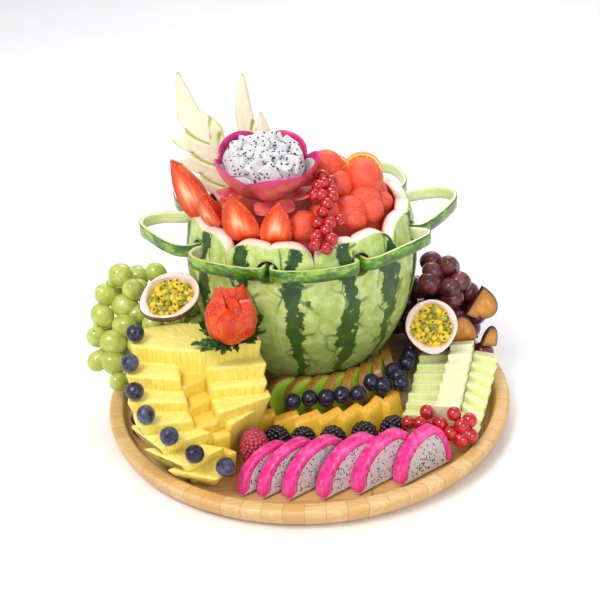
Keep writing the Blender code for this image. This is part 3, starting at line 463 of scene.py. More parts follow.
def bambooFinish():
    look = {"pale": "f6dda4", "warm": "d8a75e", "joint": "96662e", "staveWidth": 21.0, "stain": "c8935a",
            "foot": "a8703a"}
    made, shader = newFinish("bamboo", 0.42)
    place = read(shader, "local")
    x, y, z = parts(place)
    reach = calc("SQRT", x * x + y * y)
    isRim = over(reach, 181.0)
    along = calc("ARCTAN2", y, x) * 10.5
    flatRow = (y + 400.0) / look["staveWidth"]
    across = add("Mix", {0: isRim, 2: flatRow, 3: along + 80.0})
    stave = calc("FLOOR", across)
    inStave = calc("FRACT", across)
    joint = calc("SMOOTH_MIN", inStave, 1.0 - inStave, 0.01)
    shade = add("TexWhiteNoise", {"W": stave}, "Value", noise_dimensions="1D")
    shift = shade * 90.0
    grainPlace = together(x + shift, y * 14.0, z * 3.0)
    grain = cloudy(grainPlace, 0.05, 5.0, 0.6)
    fine = cloudy(grainPlace, 0.22, 3.0, 0.5)
    nodeRow = calc("FRACT", (x + shade * 700.0) / 210.0)
    knuckle = calc("COMPARE", nodeRow, 0.5, 0.006) * (1.0 - isRim)
    colour = ramp(grain, [(0.3, look["pale"]), (0.72, look["warm"])])
    colour = mixed(shade * 0.8, colour, look["warm"])
    colour = mixed(fine * 0.35, colour, look["stain"])
    colour = mixed(knuckle * 0.6, colour, look["joint"])
    line = under(joint, 0.017)
    colour = mixed(line * 0.55, colour, look["joint"])
    # painted shade: below 15 mm the bamboo is mixed towards the darker foot colour, so the tray gets darker
    # towards the bottom
    low = between(z, 21.0, 15.0)
    colour = mixed(low * 0.22, colour, look["foot"])
    colourOf(shader, colour)
    height = fine * 0.3 - line
    relief(shader, height, 0.35, 0.0006)
    shineOf(shader, grain, 0.34, 0.5)
    return made


def buildTray():
    profile = [(186.5, 0), (188.4, 0.3), (191.5, 2.4), (195.6, 6.2), (198.6, 12), (199.9, 17), (200, 19),
               (199.6, 20.6), (198.5, 21.5), (197, 21.7), (188.2, 21.7), (186.8, 21.2), (185.8, 19.9),
               (183.5, 14.6), (181.6, 11.4), (179, 10.1), (150, 10), (90, 10), (30, 10)]
    makePiece("trayBamboo", lathe(profile, 256), ["tray"], bambooFinish(), crease=50)


# watermelon basket, turned about its own axis and cut with a scalloped rim

melonSize = {"y": 60.0, "radius": 115.0, "halfHeight": 142.0, "middle": 148.7, "rind": 14.0,
             "floor": 135.0, "holes": 8, "firstHole": -17.0, "holeRadius": 10.8, "holeHeight": 177.2}


def melonRadius(z):
    share = (np.asarray(z, float) - melonSize["middle"]) / melonSize["halfHeight"]
    return melonSize["radius"] * np.sqrt(np.maximum(0.0, 1.0 - share ** 2))


def polar(angle, radius, z):
    a = math.radians(angle)
    return np.array([radius * math.sin(a), melonSize["y"] - radius * math.cos(a), z])


def rimHeight(angle):
    rim = {"notch": 182.2, "dip": 196.6, "lobe": 200.0, "lobeAngle": 10.5}
    pitch = 360.0 / melonSize["holes"]
    off = abs((angle - melonSize["firstHole"] + pitch / 2) % pitch - pitch / 2)
    if off <= rim["lobeAngle"]:
        share, low = (rim["lobeAngle"] - off) / rim["lobeAngle"], rim["dip"]
    else:
        share, low = (off - rim["lobeAngle"]) / (pitch / 2 - rim["lobeAngle"]), rim["notch"]
    return low + (rim["lobe"] - low) * math.sqrt(max(0.0, 1.0 - share ** 2))


def rindColour(place, stripe):
    # watermelon skin: yellow-green ground, fine mottling, and jagged dark stripes where stripe is near 0
    look = {"ground": "b9cd72", "light": "cddc92", "deep": "a6bf5c", "stripe": "1a3c12",
            "stripeLight": "35601f"}
    mottle = cloudy(place, 0.10, 3.0, 0.5)
    colour = ramp(mottle, [(0.36, look["deep"]), (0.5, look["ground"]), (0.64, look["light"])])
    edge = cloudy(place, 0.13, 4.0, 0.6)
    jag = (edge - 0.5) * 0.42
    near = stripe + jag
    inside = between(near, 0.138, 0.118)
    dark = ramp(mottle, [(0.35, look["stripe"]), (0.72, look["stripeLight"])])
    vein = cells(stretched(place, (1.0, 1.0, 0.5)), 0.05, "DISTANCE_TO_EDGE")
    thin = between(vein + jag * 0.12, 0.05, 0.025)
    close = between(near, 0.40, 0.2)
    thin = thin * close * 0.75
    colour = mixed(thin, colour, look["stripeLight"])
    return mixed(inside, colour, dark), mottle


def melonFinish():
    look = {"white": "efeedb", "pink": "f2cdbd", "flesh": "cf4a38", "under": "567a26",
            "underSkin": "b9cf7c"}
    made, shader = newFinish("melonSkin", 0.36)
    place = read(shader, "local")
    x, y, z = parts(place)
    around = calc("ARCTAN2", x, y * -1.0)
    share = calc("MULTIPLY_ADD", around, 14.0 / (2 * math.pi), 14.194)
    wave = (cloudy(place, 0.03, 2.0, 0.5) - 0.5) * 0.7
    stripe = calc("PINGPONG", share + wave, 0.5)
    skin, mottle = rindColour(place, stripe)
    # partly the skin's own darker underside and partly painted shade: lower down the basket the skin is
    # mixed towards dark olive
    low = between(z, 165.0, 20.0, 0.62)
    skin = mixed(low, skin, look["under"])
    depth = read(shader, "zone")
    grain = cloudy(place, 0.5, 3.0, 0.6)
    cutColour = ramp(depth + (grain - 0.5) * 0.12, [(0.10, look["underSkin"]), (0.22, look["white"]),
                                                    (0.52, look["white"]), (0.74, look["pink"]),
                                                    (0.95, look["flesh"])])
    isCut = over(depth, 0.04)
    colourOf(shader, mixed(isCut, skin, cutColour))
    relief(shader, grain * isCut, 0.5, 0.0008)
    shineOf(shader, mottle, 0.3, 0.46)
    return made


def melonShape():
    # rings up the outside, over the scalloped rim, down the inside and in over the floor
    columns, first = 384, -39.5
    wallTop, innerFoot = 172, 152  # above wallTop and innerFoot the rings rise towards the scalloped rim
    angles = first + np.arange(columns) * 360.0 / columns
    rim = np.array([rimHeight(a) for a in angles])
    turn = np.radians(angles)
    rings, zones = [], []

    def ring(radius, z, zone):
        z = np.broadcast_to(np.asarray(z, float), (columns,))
        rings.append(np.stack([radius * np.sin(turn), -radius * np.cos(turn), z], -1))
        zones.append(np.full(columns, zone))

    for z, inset in ((10.3, 1.2), (10.6, 0.3), (12.0, 0.0)):
        ring(melonRadius(z) - inset, z, 0.0)
    for z in np.linspace(16, wallTop, 50):
        ring(melonRadius(z), z, 0.0)
    for share in (0.25, 0.5, 0.75, 0.92):
        z = wallTop + (rim - wallTop) * share
        ring(melonRadius(z), z, 0.0)
    rimRows = [(0.0, -0.5, 0.0), (0.4, 0.0, 0.06), (1.0, 0.2, 0.12), (4, 0.6, 0.3), (8, 1.0, 0.55),
               (12, 1.4, 0.8), (13.6, 1.4, 0.95), (14, 1.1, 1.0)]  # inset, lift, depth into the rind
    for inset, lift, zone in rimRows:
        ring(melonRadius(rim) - inset, rim + lift, zone)
    for share in (0.8, 0.4, 0.0):
        z = innerFoot + (rim - innerFoot) * share
        ring(melonRadius(z) - melonSize["rind"], z, 1.0)
    ring(melonRadius(136.0) - 18.0, melonSize["floor"], 1.0)
    ring(30.0, melonSize["floor"], 1.0)
    shape = loft(np.array(rings))
    shape["zone"] = np.concatenate(zones + [np.array([0.0, 1.0])])
    return shifted(shape, (0, melonSize["y"], 0))


def holeBores():
    # round bars where the rind is pierced for the strips
    bores = []
    circle = aroundCircle(48)
    for k in range(melonSize["holes"]):
        angle = melonSize["firstHole"] + 360.0 / melonSize["holes"] * k
        a = math.radians(angle)
        rings = []
        for reach in (80.0, 130.0):
            side = np.outer(melonSize["holeRadius"] * np.cos(circle), (math.cos(a), math.sin(a), 0))
            up = np.outer(melonSize["holeRadius"] * np.sin(circle), (0, 0, 1))
            rings.append(side + up + polar(angle, reach, melonSize["holeHeight"]))
        bore = loft(np.array(rings))
        bore["zone"][:] = 0.88
        bores.append(bore)
    return joined(bores)


def buildMelon():
    melon = makePiece("melonBasket", melonShape(), ["melon"], melonFinish(), crease=55)
    cutter = makePiece("boreCutter", holeBores(), [], melon.data.materials[0], crease=0)
    taken = melon.modifiers.new("bores", "BOOLEAN")
    taken.operation = "DIFFERENCE"
    taken.object = cutter
    taken.solver = "EXACT"
    graph = bpy.context.evaluated_depsgraph_get()
    baked = bpy.data.meshes.new_from_object(melon.evaluated_get(graph))
    melon.modifiers.clear()
    melon.data = baked
    baked.set_sharp_from_angle(angle=math.radians(50))
    bpy.data.objects.remove(cutter, do_unlink=True)


# strips of rind looped out of the holes: (angle past the first hole, distance from the axis)

strips = {
    "strip_1": (-107.0, [(1.75, 113), (3.6, 122), (5.0, 143), (9.0, 157), (15.5, 158), (23.0, 148),
                         (32.0, 138), (39.0, 130), (42.6, 121), (43.25, 113)]),
    "strip_2": (-62.0, [(1.75, 113), (2.6, 119), (6.0, 127), (13.0, 128), (24.0, 123.5), (35.0, 119.5),
                        (41.6, 117.2), (43.25, 113)]),
    "strip_3": (-17.0, [(1.75, 113), (3.3, 117.2), (9.0, 119.2), (22.5, 120), (36.0, 119.2), (41.7, 117.2),
                        (43.25, 113)]),
    "strip_4": (28.0, [(1.75, 113), (3.3, 117.2), (9.0, 119.2), (22.0, 121), (33.0, 127), (39.5, 131),
                       (42.8, 127), (43.25, 113)]),
    "strip_5": (73.0, [(1.75, 113), (3.2, 121), (12.0, 133), (22.0, 149), (30.0, 163), (36.0, 165),
                       (40.0, 153), (42.2, 127), (43.25, 113)]),
    "strip_6": (118.0, [(1.75, 113), (2.8, 121), (9.0, 141), (18.0, 158), (25.5, 167), (31.0, 160),
                        (36.5, 140), (41.5, 121), (43.25, 113)]),
    "strip_7": (163.0, [(1.75, 113), (3.2, 122), (10.0, 144), (19.0, 158), (27.0, 157), (35.0, 142),
                        (41.5, 121), (43.25, 113)]),
    "strip_8": (208.0, [(1.75, 113), (3.2, 122), (10.0, 145), (19.0, 160), (27.0, 158), (35.0, 142),
                        (41.5, 121), (43.25, 113)]),
}


def stripFinish():
    look = {"pale": "e9ecc0", "green": "457a1c", "speck": "93b63a", "dark": "294f12", "fleck": "b9d560",
            "paleGreen": "cfdc8c"}
    made, shader = newFinish("rindStrip", 0.22, Coat_Weight=0.3, Coat_Roughness=0.12)
    place = read(shader, "local")
    across = parts(place)[0]
    flowing = stretched(place, (1.0, 0.45, 1.0))
    cloud = cloudy(flowing, 0.11, 4.0, 0.65)
    speck = cloudy(flowing, 0.5, 3.0, 0.7)
    skin = ramp(cloud, [(0.36, look["dark"]), (0.5, look["green"]), (0.62, look["speck"])])
    skin = mixed(between(speck, 0.6, 0.7, 0.4), skin, look["fleck"])
    pale = mixed(between(cloud, 0.35, 0.7), look["pale"], look["paleGreen"])
    isSkin = between(across, 0.7, 1.3)
    colourOf(shader, mixed(isSkin, pale, skin))
    relief(shader, speck, 0.15, 0.0004)
    return made


def buildStrips():
    half, thick, edge = 5.9, 1.9, 0.5
    height, inside = 177.6, 104  # of the strip's middle line, and how far its ends reach into the holes
    section = [(-thick, -half + edge), (-thick + edge, -half), (thick - edge, -half), (thick, -half + edge),
               (thick, -half / 3), (thick, half / 3), (thick, half - edge), (thick - edge, half),
               (-thick + edge, half), (-thick, half - edge), (-thick, half / 3), (-thick, -half / 3)]
    finish = stripFinish()
    for name, (start, knots) in strips.items():
        way = curveThrough([polar(start + a, r, height) for a, r in knots], 8)
        way = np.vstack([[polar(start + 1.6, inside, height)], way, [polar(start + 43.4, inside, height)]])
        length = np.concatenate([[0], np.cumsum(np.linalg.norm(np.diff(way, axis=0), axis=1))])
        rings, local = [], []
        for k, point in enumerate(way):
            along = way[min(k + 1, len(way) - 1)] - way[max(k - 1, 0)]
            along /= np.linalg.norm(along)
            side = np.array([along[1], -along[0], 0.0])
            rings.append([point + side * u + np.array([0, 0, w]) for u, w in section])
            local += [(u, length[k], w) for u, w in section]
        shape = loft(np.array(rings))
        local += [(0, 0, 0), (0, length[-1], 0)]
        shape["local"] = np.array(local) + np.array([0, start * 7.0, 0])
        makePiece(name.replace("_", "Rind"), shape, [name], finish, crease=60)


# melon balls on their mound

melonBalls = [((62, 50, 225), 19.6), ((60, 33, 209), 17.5), ((46, 14, 206), 17), ((2, -12, 205), 16),
              ((27, 50, 240), 16), ((37, 36, 226), 14), ((73, 61, 207), 13.5), ((22, 2, 212), 15),
              ((30, 110, 209), 17), ((57, 106, 199), 14), ((-6, 114, 212), 18), ((-44, 106, 206), 17),
              ((50, 86, 203), 14), ((-29, 27, 212), 13), ((66, 22, 203), 14), ((79, 48, 200), 12),
              ((50, 3, 202), 12), ((11, 86, 215), 15.5), ((-13, 87, 214), 12), ((8, 60, 217), 14),
              ((-66, 98, 202), 13)]


def watermelonFinish():
    look = {"light": "f26a48", "main": "ea4c30", "deep": "d63c26", "pale": "f58a66", "shade": "861408"}
    made, shader = newFinish("watermelonFlesh", 0.3, Subsurface_Weight=0.15, Subsurface_Scale=0.004)
    shader.inputs["Subsurface Radius"].default_value = (1.0, 0.3, 0.2)
    place = read(shader, "local")
    tone = read(shader, "tone")
    place = movedBy(place, tone, 137.0)
    grain = cloudy(place, 0.45, 5.0, 0.75)
    broad = cloudy(place, 0.09, 2.0, 0.5)
    colour = ramp(grain, [(0.30, look["deep"]), (0.47, look["main"]), (0.64, look["light"])])
    streak = between(broad, 0.52, 0.72, 0.3)
    colour = mixed(streak, colour, look["pale"])
    colour = mixed(read(shader, "zone") * 0.85, colour, look["shade"])
    colourOf(shader, colour)
    fine = cloudy(place, 1.6, 3.0, 0.7)
    relief(shader, grain + fine * 0.5, 0.45, 0.0009)
    shineOf(shader, calc("MAXIMUM", fine, read(shader, "zone")), 0.18, 0.75)  # the mound is the dullest
    return made


def buildMelonBalls():
    draw = random.Random(4)
    shapes = []
    for place, radius in melonBalls:
        ball = orb(radius, 36, 22, draw.random())
        ball["local"] = ball["points"].copy()
        ball = roughened(ball, 0.035 * radius, 0.09, draw.random())
        ball = roughened(ball, 0.25, 0.5, draw.random())
        top = radius * draw.uniform(0.86, 0.97)  # the scoop leaves a flat
        height = ball["points"][:, 2]
        ball["points"][:, 2] = np.minimum(height, top + 0.12 * (height - top))
        shapes.append(placed(ball, spot(*place) @ tumbled(draw, 1.4)))
    mound = lathe([(70, 135.5), (86, 150), (90.5, 170), (91.5, 186), (88, 195), (79, 202), (61, 207.5),
                   (40, 211.5), (20, 215)], 120, 0.3)
    # zone 1 makes the finish mix the mound towards its dark shade colour: painted shade under and between
    # the balls
    mound["zone"][:] = 1.0
    mound["local"] = mound["points"].copy()
    mound = roughened(mound, 1.4, 0.07, 3)
    shapes.append(shifted(mound, (0, melonSize["y"], 0)))
    makePiece("melonBalls", joined(shapes), ["melon_balls"], watermelonFinish(), crease=0)


# dragon-fruit cup with cubes of its flesh

def seeded(points, normals, rng, size=(1.0, 0.62, 0.4)):
    # black seeds lying in a surface
    made = []
    for p, n in zip(points, normals):
        seed = orb(size, 6, 4)
        made.append(placed(seed, facing(p, n, rng.uniform(0, 360))))
    shape = joined(made)
    shape["zone"][:] = 2.0
    return shape


def dragonSkinFinish():
    look = {"coral": "d8585c", "deep": "c23a4a", "magenta": "d22676", "orange": "e2895a", "line": "b8155f",
            "bloom": "e36a8c", "wallGrey": "c9bdbb", "wallPale": "ece6e2", "pink": "dd2f86",
            "seed": "141214"}
    made, shader = newFinish("dragonSkin", 0.36, Coat_Weight=0.1)
    place = read(shader, "local")
    z = parts(place)[2]
    zone = read(shader, "zone")
    cloud = cloudy(place, 0.06, 4.0, 0.6)
    fine = cloudy(stretched(place, (1, 1, 0.3)), 0.35, 4.0, 0.7)
    skin = ramp(cloud, [(0.36, look["deep"]), (0.5, look["coral"]), (0.66, look["orange"])])
    tip = between(calc("MULTIPLY_ADD", cloud, 16.0, z), 43.0, 50.0)
    skin = mixed(tip, skin, look["magenta"])
    skin = mixed(fine * 0.2, skin, look["bloom"])
    wall = ramp(fine, [(0.3, look["wallGrey"]), (0.7, look["wallPale"])])
    inner = ramp(cloud, [(0.35, look["line"]), (0.65, look["pink"])])
    inside = over(zone, 0.5)
    colour = mixed(inside, mixed(over(zone, 0.25), skin, inner), wall)
    colour = mixed(over(zone, 1.5), colour, look["seed"])
    colourOf(shader, colour)
    relief(shader, cloud + fine * 0.5, 0.4, 0.001)
    return made


def dragonFleshFinish():
    look = {"grey": "bdbabc", "main": "d3d1d3", "pale": "e6e5e6", "seed": "131114"}
    made, shader = newFinish("dragonFlesh", 0.34, Subsurface_Weight=0.2, Subsurface_Scale=0.003)
    place = read(shader, "local")
    zone = read(shader, "zone")
    grain = cloudy(place, 0.35, 4.0, 0.65)
    colour = ramp(grain, [(0.3, look["grey"]), (0.5, look["main"]), (0.68, look["pale"])])
    colour = mixed(over(zone, 1.5), colour, look["seed"])
    colourOf(shader, colour)
    relief(shader, grain, 0.4, 0.0008)
    return made


def flowerCup():
    # the wall of petals: up the outside, over the edge and down the inside
    columns = 240
    turn = aroundCircle(columns)
    degrees = np.degrees(turn)
    # petals: from and to in degrees, rise and flare of the tip, dip of the cleft
    petals = [(20, 92, 9.5, 0.5, 4.0), (92, 172, 9.0, 0.5, 4.0), (172, 247, 6.0, 3.2, 6.5),
              (247, 330, 6.0, 3.0, 6.5), (330, 380, 8.5, 6.0, 4.5)]
    lift, flare, fold = np.zeros(columns), np.zeros(columns), np.zeros(columns)
    for start, end, rise, out, dip in petals:
        share = ((degrees - start) % 360) / (end - start)
        inside = share <= 1
        swell = np.sin(math.pi * np.clip(share, 0, 1))
        lift = np.where(inside, -dip + (rise + dip) * swell ** 0.55, lift)
        flare = np.where(inside, out * swell ** 0.6, flare)
        fold = np.where(inside, np.clip(1 - share * 9, 0, 1), fold)
    crease = np.zeros(columns)
    for start, _, _, _, _ in petals:
        apart = (degrees - start + 180) % 360 - 180
        crease = np.maximum(crease, np.exp(-(apart / 8.0) ** 2))
    rings, zones = [], []
    # rows: radius, height, depth of the star, share of the lift, share of the flare, zone
    rows = [(5, -0.6, 0, 0, 0, 0), (12, 0, 0, 0, 0, 0), (16, 1.2, 0.5, 0, 0, 0), (21, 3.6, 1, 0, 0.05, 0),
            (27.5, 9, 1.5, 0, 0.2, 0), (34, 16.5, 1.5, 0.1, 0.4, 0), (39.6, 24, 1, 0.3, 0.65, 0),
            (43.4, 30.5, 0.5, 0.6, 0.9, 0), (45.4, 34.5, 0, 0.9, 1, 0), (45.3, 36.4, 0, 1, 1, 0.3),
            (44.2, 36.8, 0, 1, 1, 0.4), (43.0, 35.8, 0, 0.98, 1, 0.4), (42.0, 33.5, 0, 0.85, 0.9, 0.4),
            (41.2, 31.2, 0, 0.7, 0.8, 0.49), (40.8, 30.6, 0, 0.68, 0.78, 0.6),
            (39.4, 28, 0, 0.45, 0.6, 0.8), (36.4, 24, 0, 0.2, 0.4, 0.8), (32.5, 19, 0, 0, 0.1, 0.8),
            (26, 13.5, 0, 0, 0, 0.8), (18, 9, 0, 0, 0, 0.8), (8, 8, 0, 0, 0, 0.8)]
    for radius, height, star, rise, opened, zone in rows:
        r = radius + flare * opened - fold * 1.6 * opened + star * np.cos(5 * turn + 1.0)
        r = r - 3.0 * crease * min(1.0, max(0.0, height - 4) / 14) * (1.0 if zone < 0.2 else 0.5)
        rings.append(np.stack([r * np.cos(turn), r * np.sin(turn), height + lift * rise], -1))
        zones.append(np.full(columns, zone))
    cup = loft(np.array(rings))
    cup["zone"] = np.concatenate(zones + [np.array([0.0, 0.8])])
    return roughened(cup, 0.9, 0.06, 6)


def wallSeeds(rng):
    seedPoints, seedNormals = [], []
    for _ in range(90):
        a = rng.uniform(0, 2 * math.pi)
        k = rng.uniform(0, 1)
        r, z = 39.0 - 6.6 * k ** 1.2, 28 - 9 * k
        seedPoints.append((r * math.cos(a), r * math.sin(a), z))
        seedNormals.append((-math.cos(a), -math.sin(a), 0.35))
    return seeded(seedPoints, seedNormals, rng)


def flowerFlaps():
    # loose petals under the cup: heading, lean, width, height, distance from the middle, height of the foot
    flaps = []
    flapSizes = [(-76, 82, 46, 19, 30, 7), (-148, 66, 28, 20, 31, 9), (-26, 52, 30, 24, 34, 8)]
    for heading, lean, width, height, out, foot in flapSizes:
        u, v = np.meshgrid(np.linspace(-1, 1, 21), np.linspace(0, 1, 14))
        half = width / 2 * np.sqrt(np.maximum(0.0, 1 - v ** 2.6)) * (0.75 + 0.3 * v) + 0.2
        bend = 3.0 * np.sin(math.pi * v * 0.9) * (1 - 0.4 * u * u) + 2.4 * u * u * v
        front = np.stack([u * half, -bend, height * v], -1)
        thick = np.array([0, 2.6, 0]) * (1 - 0.5 * v[..., None])
        flap = loft(np.concatenate([front, front[:, ::-1] + thick], 1))
        flap["zone"][:] = 0.1
        flap["local"][:, 2] = 22 + 20 * np.clip(flap["local"][:, 2] / height, 0, 1) ** 2
        flaps.append(placed(flap, turned(heading + 90, "Z") @ spot(0, -out, foot) @ turned(lean, "X")))
    return flaps


def flowerFilling(rng):
    # a low dome with cubes on it, which carry seeds on all six faces
    dome = lathe([(12, 8.6), (17, 9.5), (30.5, 19), (36, 27), (37, 32), (33, 37), (22, 42), (8, 43.5)], 80)
    dome = roughened(dome, 1.6, 0.09, 2)
    shapes = [dome]
    seeds = []
    spots = [(0, 2, 47)]
    for reach, height, angles in ((14.0, 44.5, np.arange(6) * 1.047 + 0.3),
                                  (27, 38.5, np.arange(12) * 0.5236 + 0.1)):
        spots += [(reach * math.cos(a), reach * math.sin(a), height) for a in angles]
    for k, (x, y, z) in enumerate(spots):
        size = rng.uniform(14.5, 18.0)
        tumble = Matrix.Rotation(rng.uniform(0, 1.5), 4, "Z")
        for axis in "XY":
            tumble = tumble @ Matrix.Rotation(rng.uniform(-0.6, 0.6), 4, axis)
        where = spot(x, y, z + rng.uniform(-1.0, 1.0)) @ tumble
        shapes.append(roughened(cube(size, where), 0.4, 0.22, k))
        points, normals = [], []
        for face in range(6):
            normal = np.zeros(3)
            normal[face // 2] = 1 if face % 2 else -1
            for _ in range(7):
                p = np.array([rng.uniform(-0.42, 0.42) * size for _ in range(3)])
                p[face // 2] = normal[face // 2] * size * 0.5
                points.append(p)
                normals.append(normal)
        seeds.append(placed(seeded(points, normals, rng, (1.2, 0.85, 0.65)), where))
    return joined(shapes + seeds)


def buildFlower():
    rng = random.Random(8)
    base = spot(-33, 25, 225) @ turned(9, "X") @ turned(4, "Y")
    cup = flowerCup()
    drop = nodeBox("flower_skin")[0][2] - placed(cup, base)["points"][:, 2].min()
    skin = joined([cup, wallSeeds(rng)] + flowerFlaps())
    skin = shifted(placed(skin, base), (0, 0, drop))
    makePiece("flowerSkin", skin, ["flower_skin"], dragonSkinFinish(), crease=60)
    flesh = shifted(placed(flowerFilling(rng), base), (0, 0, drop))
    makePiece("flowerFlesh", flesh, ["flower_flesh"], dragonFleshFinish(), crease=0)


# leaves carved from pale melon: foot, roll, heading, rows of height, left and right, and slits end to end
carvedLeaves = {
    "carved_leaf_left": ((-72, 58, 202), -19.0, -8.0, [(0, 6, 6), (12, 10, 8), (20, 19, 10), (27, 27, 12),
                                                       (30.5, 29, 13), (32.5, 15, 14), (40, 23, 16),
                                                       (47, 29, 17), (52.5, 31, 18), (54.5, 16, 19),
                                                       (62, 24, 20), (69, 29, 21), (74.5, 31, 19),
                                                       (77, 14, 18), (84, 16, 13), (92, 17, 6),
                                                       (109, 11, 4), (124, 6, 2), (133, 1.5, 1.0)],
                         [((-15, 33), (4, 14)), ((-16, 55), (4, 35)), ((-14, 78), (4, 58)),
                          ((14, 82), (7, 62)), ((17, 64), (9, 44)), ((13, 40), (6, 22))]),
    "carved_leaf_right": ((-38, 84, 210), -5.0, 4.0, [(0, 7, 7), (14, 10, 10), (28, 12, 10), (44, 13, 7),
                                                      (58, 13.5, 4.5), (70, 13.5, 4), (80, 12, 3.5),
                                                      (90, 9.5, 3), (100, 5.5, 2.5), (110, 1.0, 1.0)],
                          [((3, 62), (-2, 40)), ((-8, 50), (-2, 34))]),
}


def leafFinish():
    look = {"cream": "eeecd6", "pale": "dfe5b6", "edge": "a9c65a", "slit": "b3bd55", "blush": "ecd8c6"}
    made, shader = newFinish("paleMelon", 0.38, Subsurface_Weight=0.2, Subsurface_Scale=0.004)
    place = read(shader, "local")
    z = parts(place)[2]
    grain = cloudy(stretched(place, (1.0, 1.0, 0.35)), 0.2, 4.0, 0.6)
    colour = ramp(grain, [(0.32, look["pale"]), (0.6, look["cream"])])
    low = between(z, 60.0, 5.0, 0.35)
    colour = mixed(low, colour, look["blush"])
    edge = between(read(shader, "zone"), 0.45, 0.95, 0.85)
    colour = mixed(edge, colour, look["edge"])
    slit = between(read(shader, "tone"), 0.1, 0.9)
    colour = mixed(slit, colour, look["slit"])
    colourOf(shader, colour)
    relief(shader, grain, 0.3, 0.0008)
    return made


def carvedLeaf(rows, slits, thickness=3.8):
    table = np.array(rows, float)
    count, columns = 160, 41
    along = np.linspace(0, table[-1, 0], count)
    left = np.interp(along, table[:, 0], table[:, 1])
    right = np.interp(along, table[:, 0], table[:, 2])
    soft = np.array([0.25, 0.5, 0.25])
    left[1:-1] = np.convolve(left, soft, "valid")
    right[1:-1] = np.convolve(right, soft, "valid")
    across = np.linspace(-1, 1, columns)
    bow = 5.0 * np.sin(math.pi * along / 134.0)
    flat = np.where(across[None] < 0, across[None] * left[:, None], across[None] * right[:, None])
    curve = bow[:, None] + 2.0 * np.abs(across[None]) ** 1.5
    cutIn = np.zeros_like(flat)
    height = np.repeat(along[:, None], columns, 1)
    for start, end in slits:
        a = np.array(start, float)
        way = np.array(end, float) - a
        share = np.clip(((flat - a[0]) * way[0] + (height - a[1]) * way[1]) / (way @ way), 0, 1)
        bowed = 1.6 * np.sin(math.pi * share)
        apart = np.hypot(flat - (a[0] + way[0] * share) + bowed,
                         height - (a[1] + way[1] * share) + bowed * 0.5)
        cutIn = np.maximum(cutIn, np.clip(1.7 - apart / (0.6 + 1.1 * (1 - share)), 0, 1))
    border = np.abs(across[None]) ** 8 + np.zeros_like(flat)
    border = np.maximum(border, np.clip((height - table[-1, 0] + 5) / 5, 0, 1))
    thick = thickness * (1 - 0.45 * np.abs(across[None]) ** 8) + np.zeros_like(flat)
    front = np.stack([flat, curve + cutIn * 1.5, height], -1)
    back = np.stack([flat, curve + thick, height], -1)
    shape = loft(np.concatenate([front, back[:, ::-1]], 1))
    for key, value in (("tone", cutIn), ("zone", border)):
        shape[key] = np.concatenate([np.concatenate([value, value[:, ::-1]], 1).ravel(), [0.0, 0.0]])
    return shape


def buildLeaves():
    finish = leafFinish()
    for name, (foot, roll, heading, rows, slits) in carvedLeaves.items():
        shape = carvedLeaf(rows, slits)
        if name == "carved_leaf_right":
            lobe = [(0, 3, 3), (14, 6, 6), (24, 6.5, 6.5), (32, 4.5, 4.5), (40, 0.8, 0.8)]
            shape = joined([shape, shifted(carvedLeaf(lobe, [], 3.0), (11.5, 2.0, 30))])
        shape = placed(shape, pose(foot, heading, 12.0, roll))
        rise = nodeBox(name)[1][2] - shape["points"][:, 2].max()
        shape = shifted(shape, (0, 0, rise))
        makePiece(name.replace("_", ""), shape, [name], finish, crease=50)


# strawberry slices fanned over the rim: place, heading, lean, roll, width, length, thickness

strawberries = {
    "strawberry_1": ((-106, 39, 228), -30, -4, -26, 36, 62, 12),
    "strawberry_2": ((-87, 8, 216), -40, -18, -6, 27, 36, 11),
    "strawberry_3": ((-70, 11, 222), -40, 0, -12, 17, 26, 6),
    "strawberry_4": ((-57, -18, 215), -22, -14, -6, 39, 53, 8),
    "strawberry_5": ((-22, -29, 214), -6, -6, 8, 31, 45, 11),
}


def strawberryFinish():
    look = {"core": "fbdcc0", "pale": "f6ae82", "flesh": "ee7436", "main": "e44a12", "deep": "d63206",
            "skin": "bc1a02", "bright": "e03c04", "seed": "e59c46", "unripe": "f0641a"}
    made, shader = newFinish("strawberryFlesh", 0.32, Coat_Weight=0.1, Coat_Roughness=0.15,
                             Subsurface_Weight=0.06, Subsurface_Scale=0.003)
    place = read(shader, "local")
    zone = read(shader, "zone")
    tone = read(shader, "tone")
    x, _, z = parts(place)
    spread = calc("ARCTAN2", z, x)
    ray = cloudy(together(spread * 9.0, zone * 0.7, tone), 1.6, 3.0, 0.6)
    grain = cloudy(place, 0.5, 4.0, 0.7)
    streak = cloudy(stretched(place, (1.0, 1.0, 0.16)), 0.28, 3.0, 0.5)
    warped = calc("MULTIPLY_ADD", ray - 0.5, 0.35, zone)
    warped = calc("MULTIPLY_ADD", streak - 0.5, 0.9, warped)
    face = ramp(warped, [(0.10, look["core"]), (0.28, look["pale"]), (0.5, look["flesh"]),
                         (0.76, look["main"]), (0.94, look["deep"])])
    face = mixed(grain * 0.25, face, look["main"])
    pit = cells(place, 0.38, chance=0.35)
    seed = between(pit, 0.24, 0.17)
    skin = ramp(grain, [(0.3, look["skin"]), (0.7, look["bright"])])
    ripe = cloudy(place, 0.045, 2.0, 0.5)
    skin = mixed(between(ripe, 0.46, 0.62, 0.75), skin, look["unripe"])
    skin = mixed(seed, skin, look["seed"])
    isSkin = over(zone, 0.985)
    colourOf(shader, mixed(isSkin, face, skin))
    dent = between(pit, 0.12, 0.4) * isSkin
    relief(shader, dent + ray * 0.3, 0.6, 0.0009)
    return made


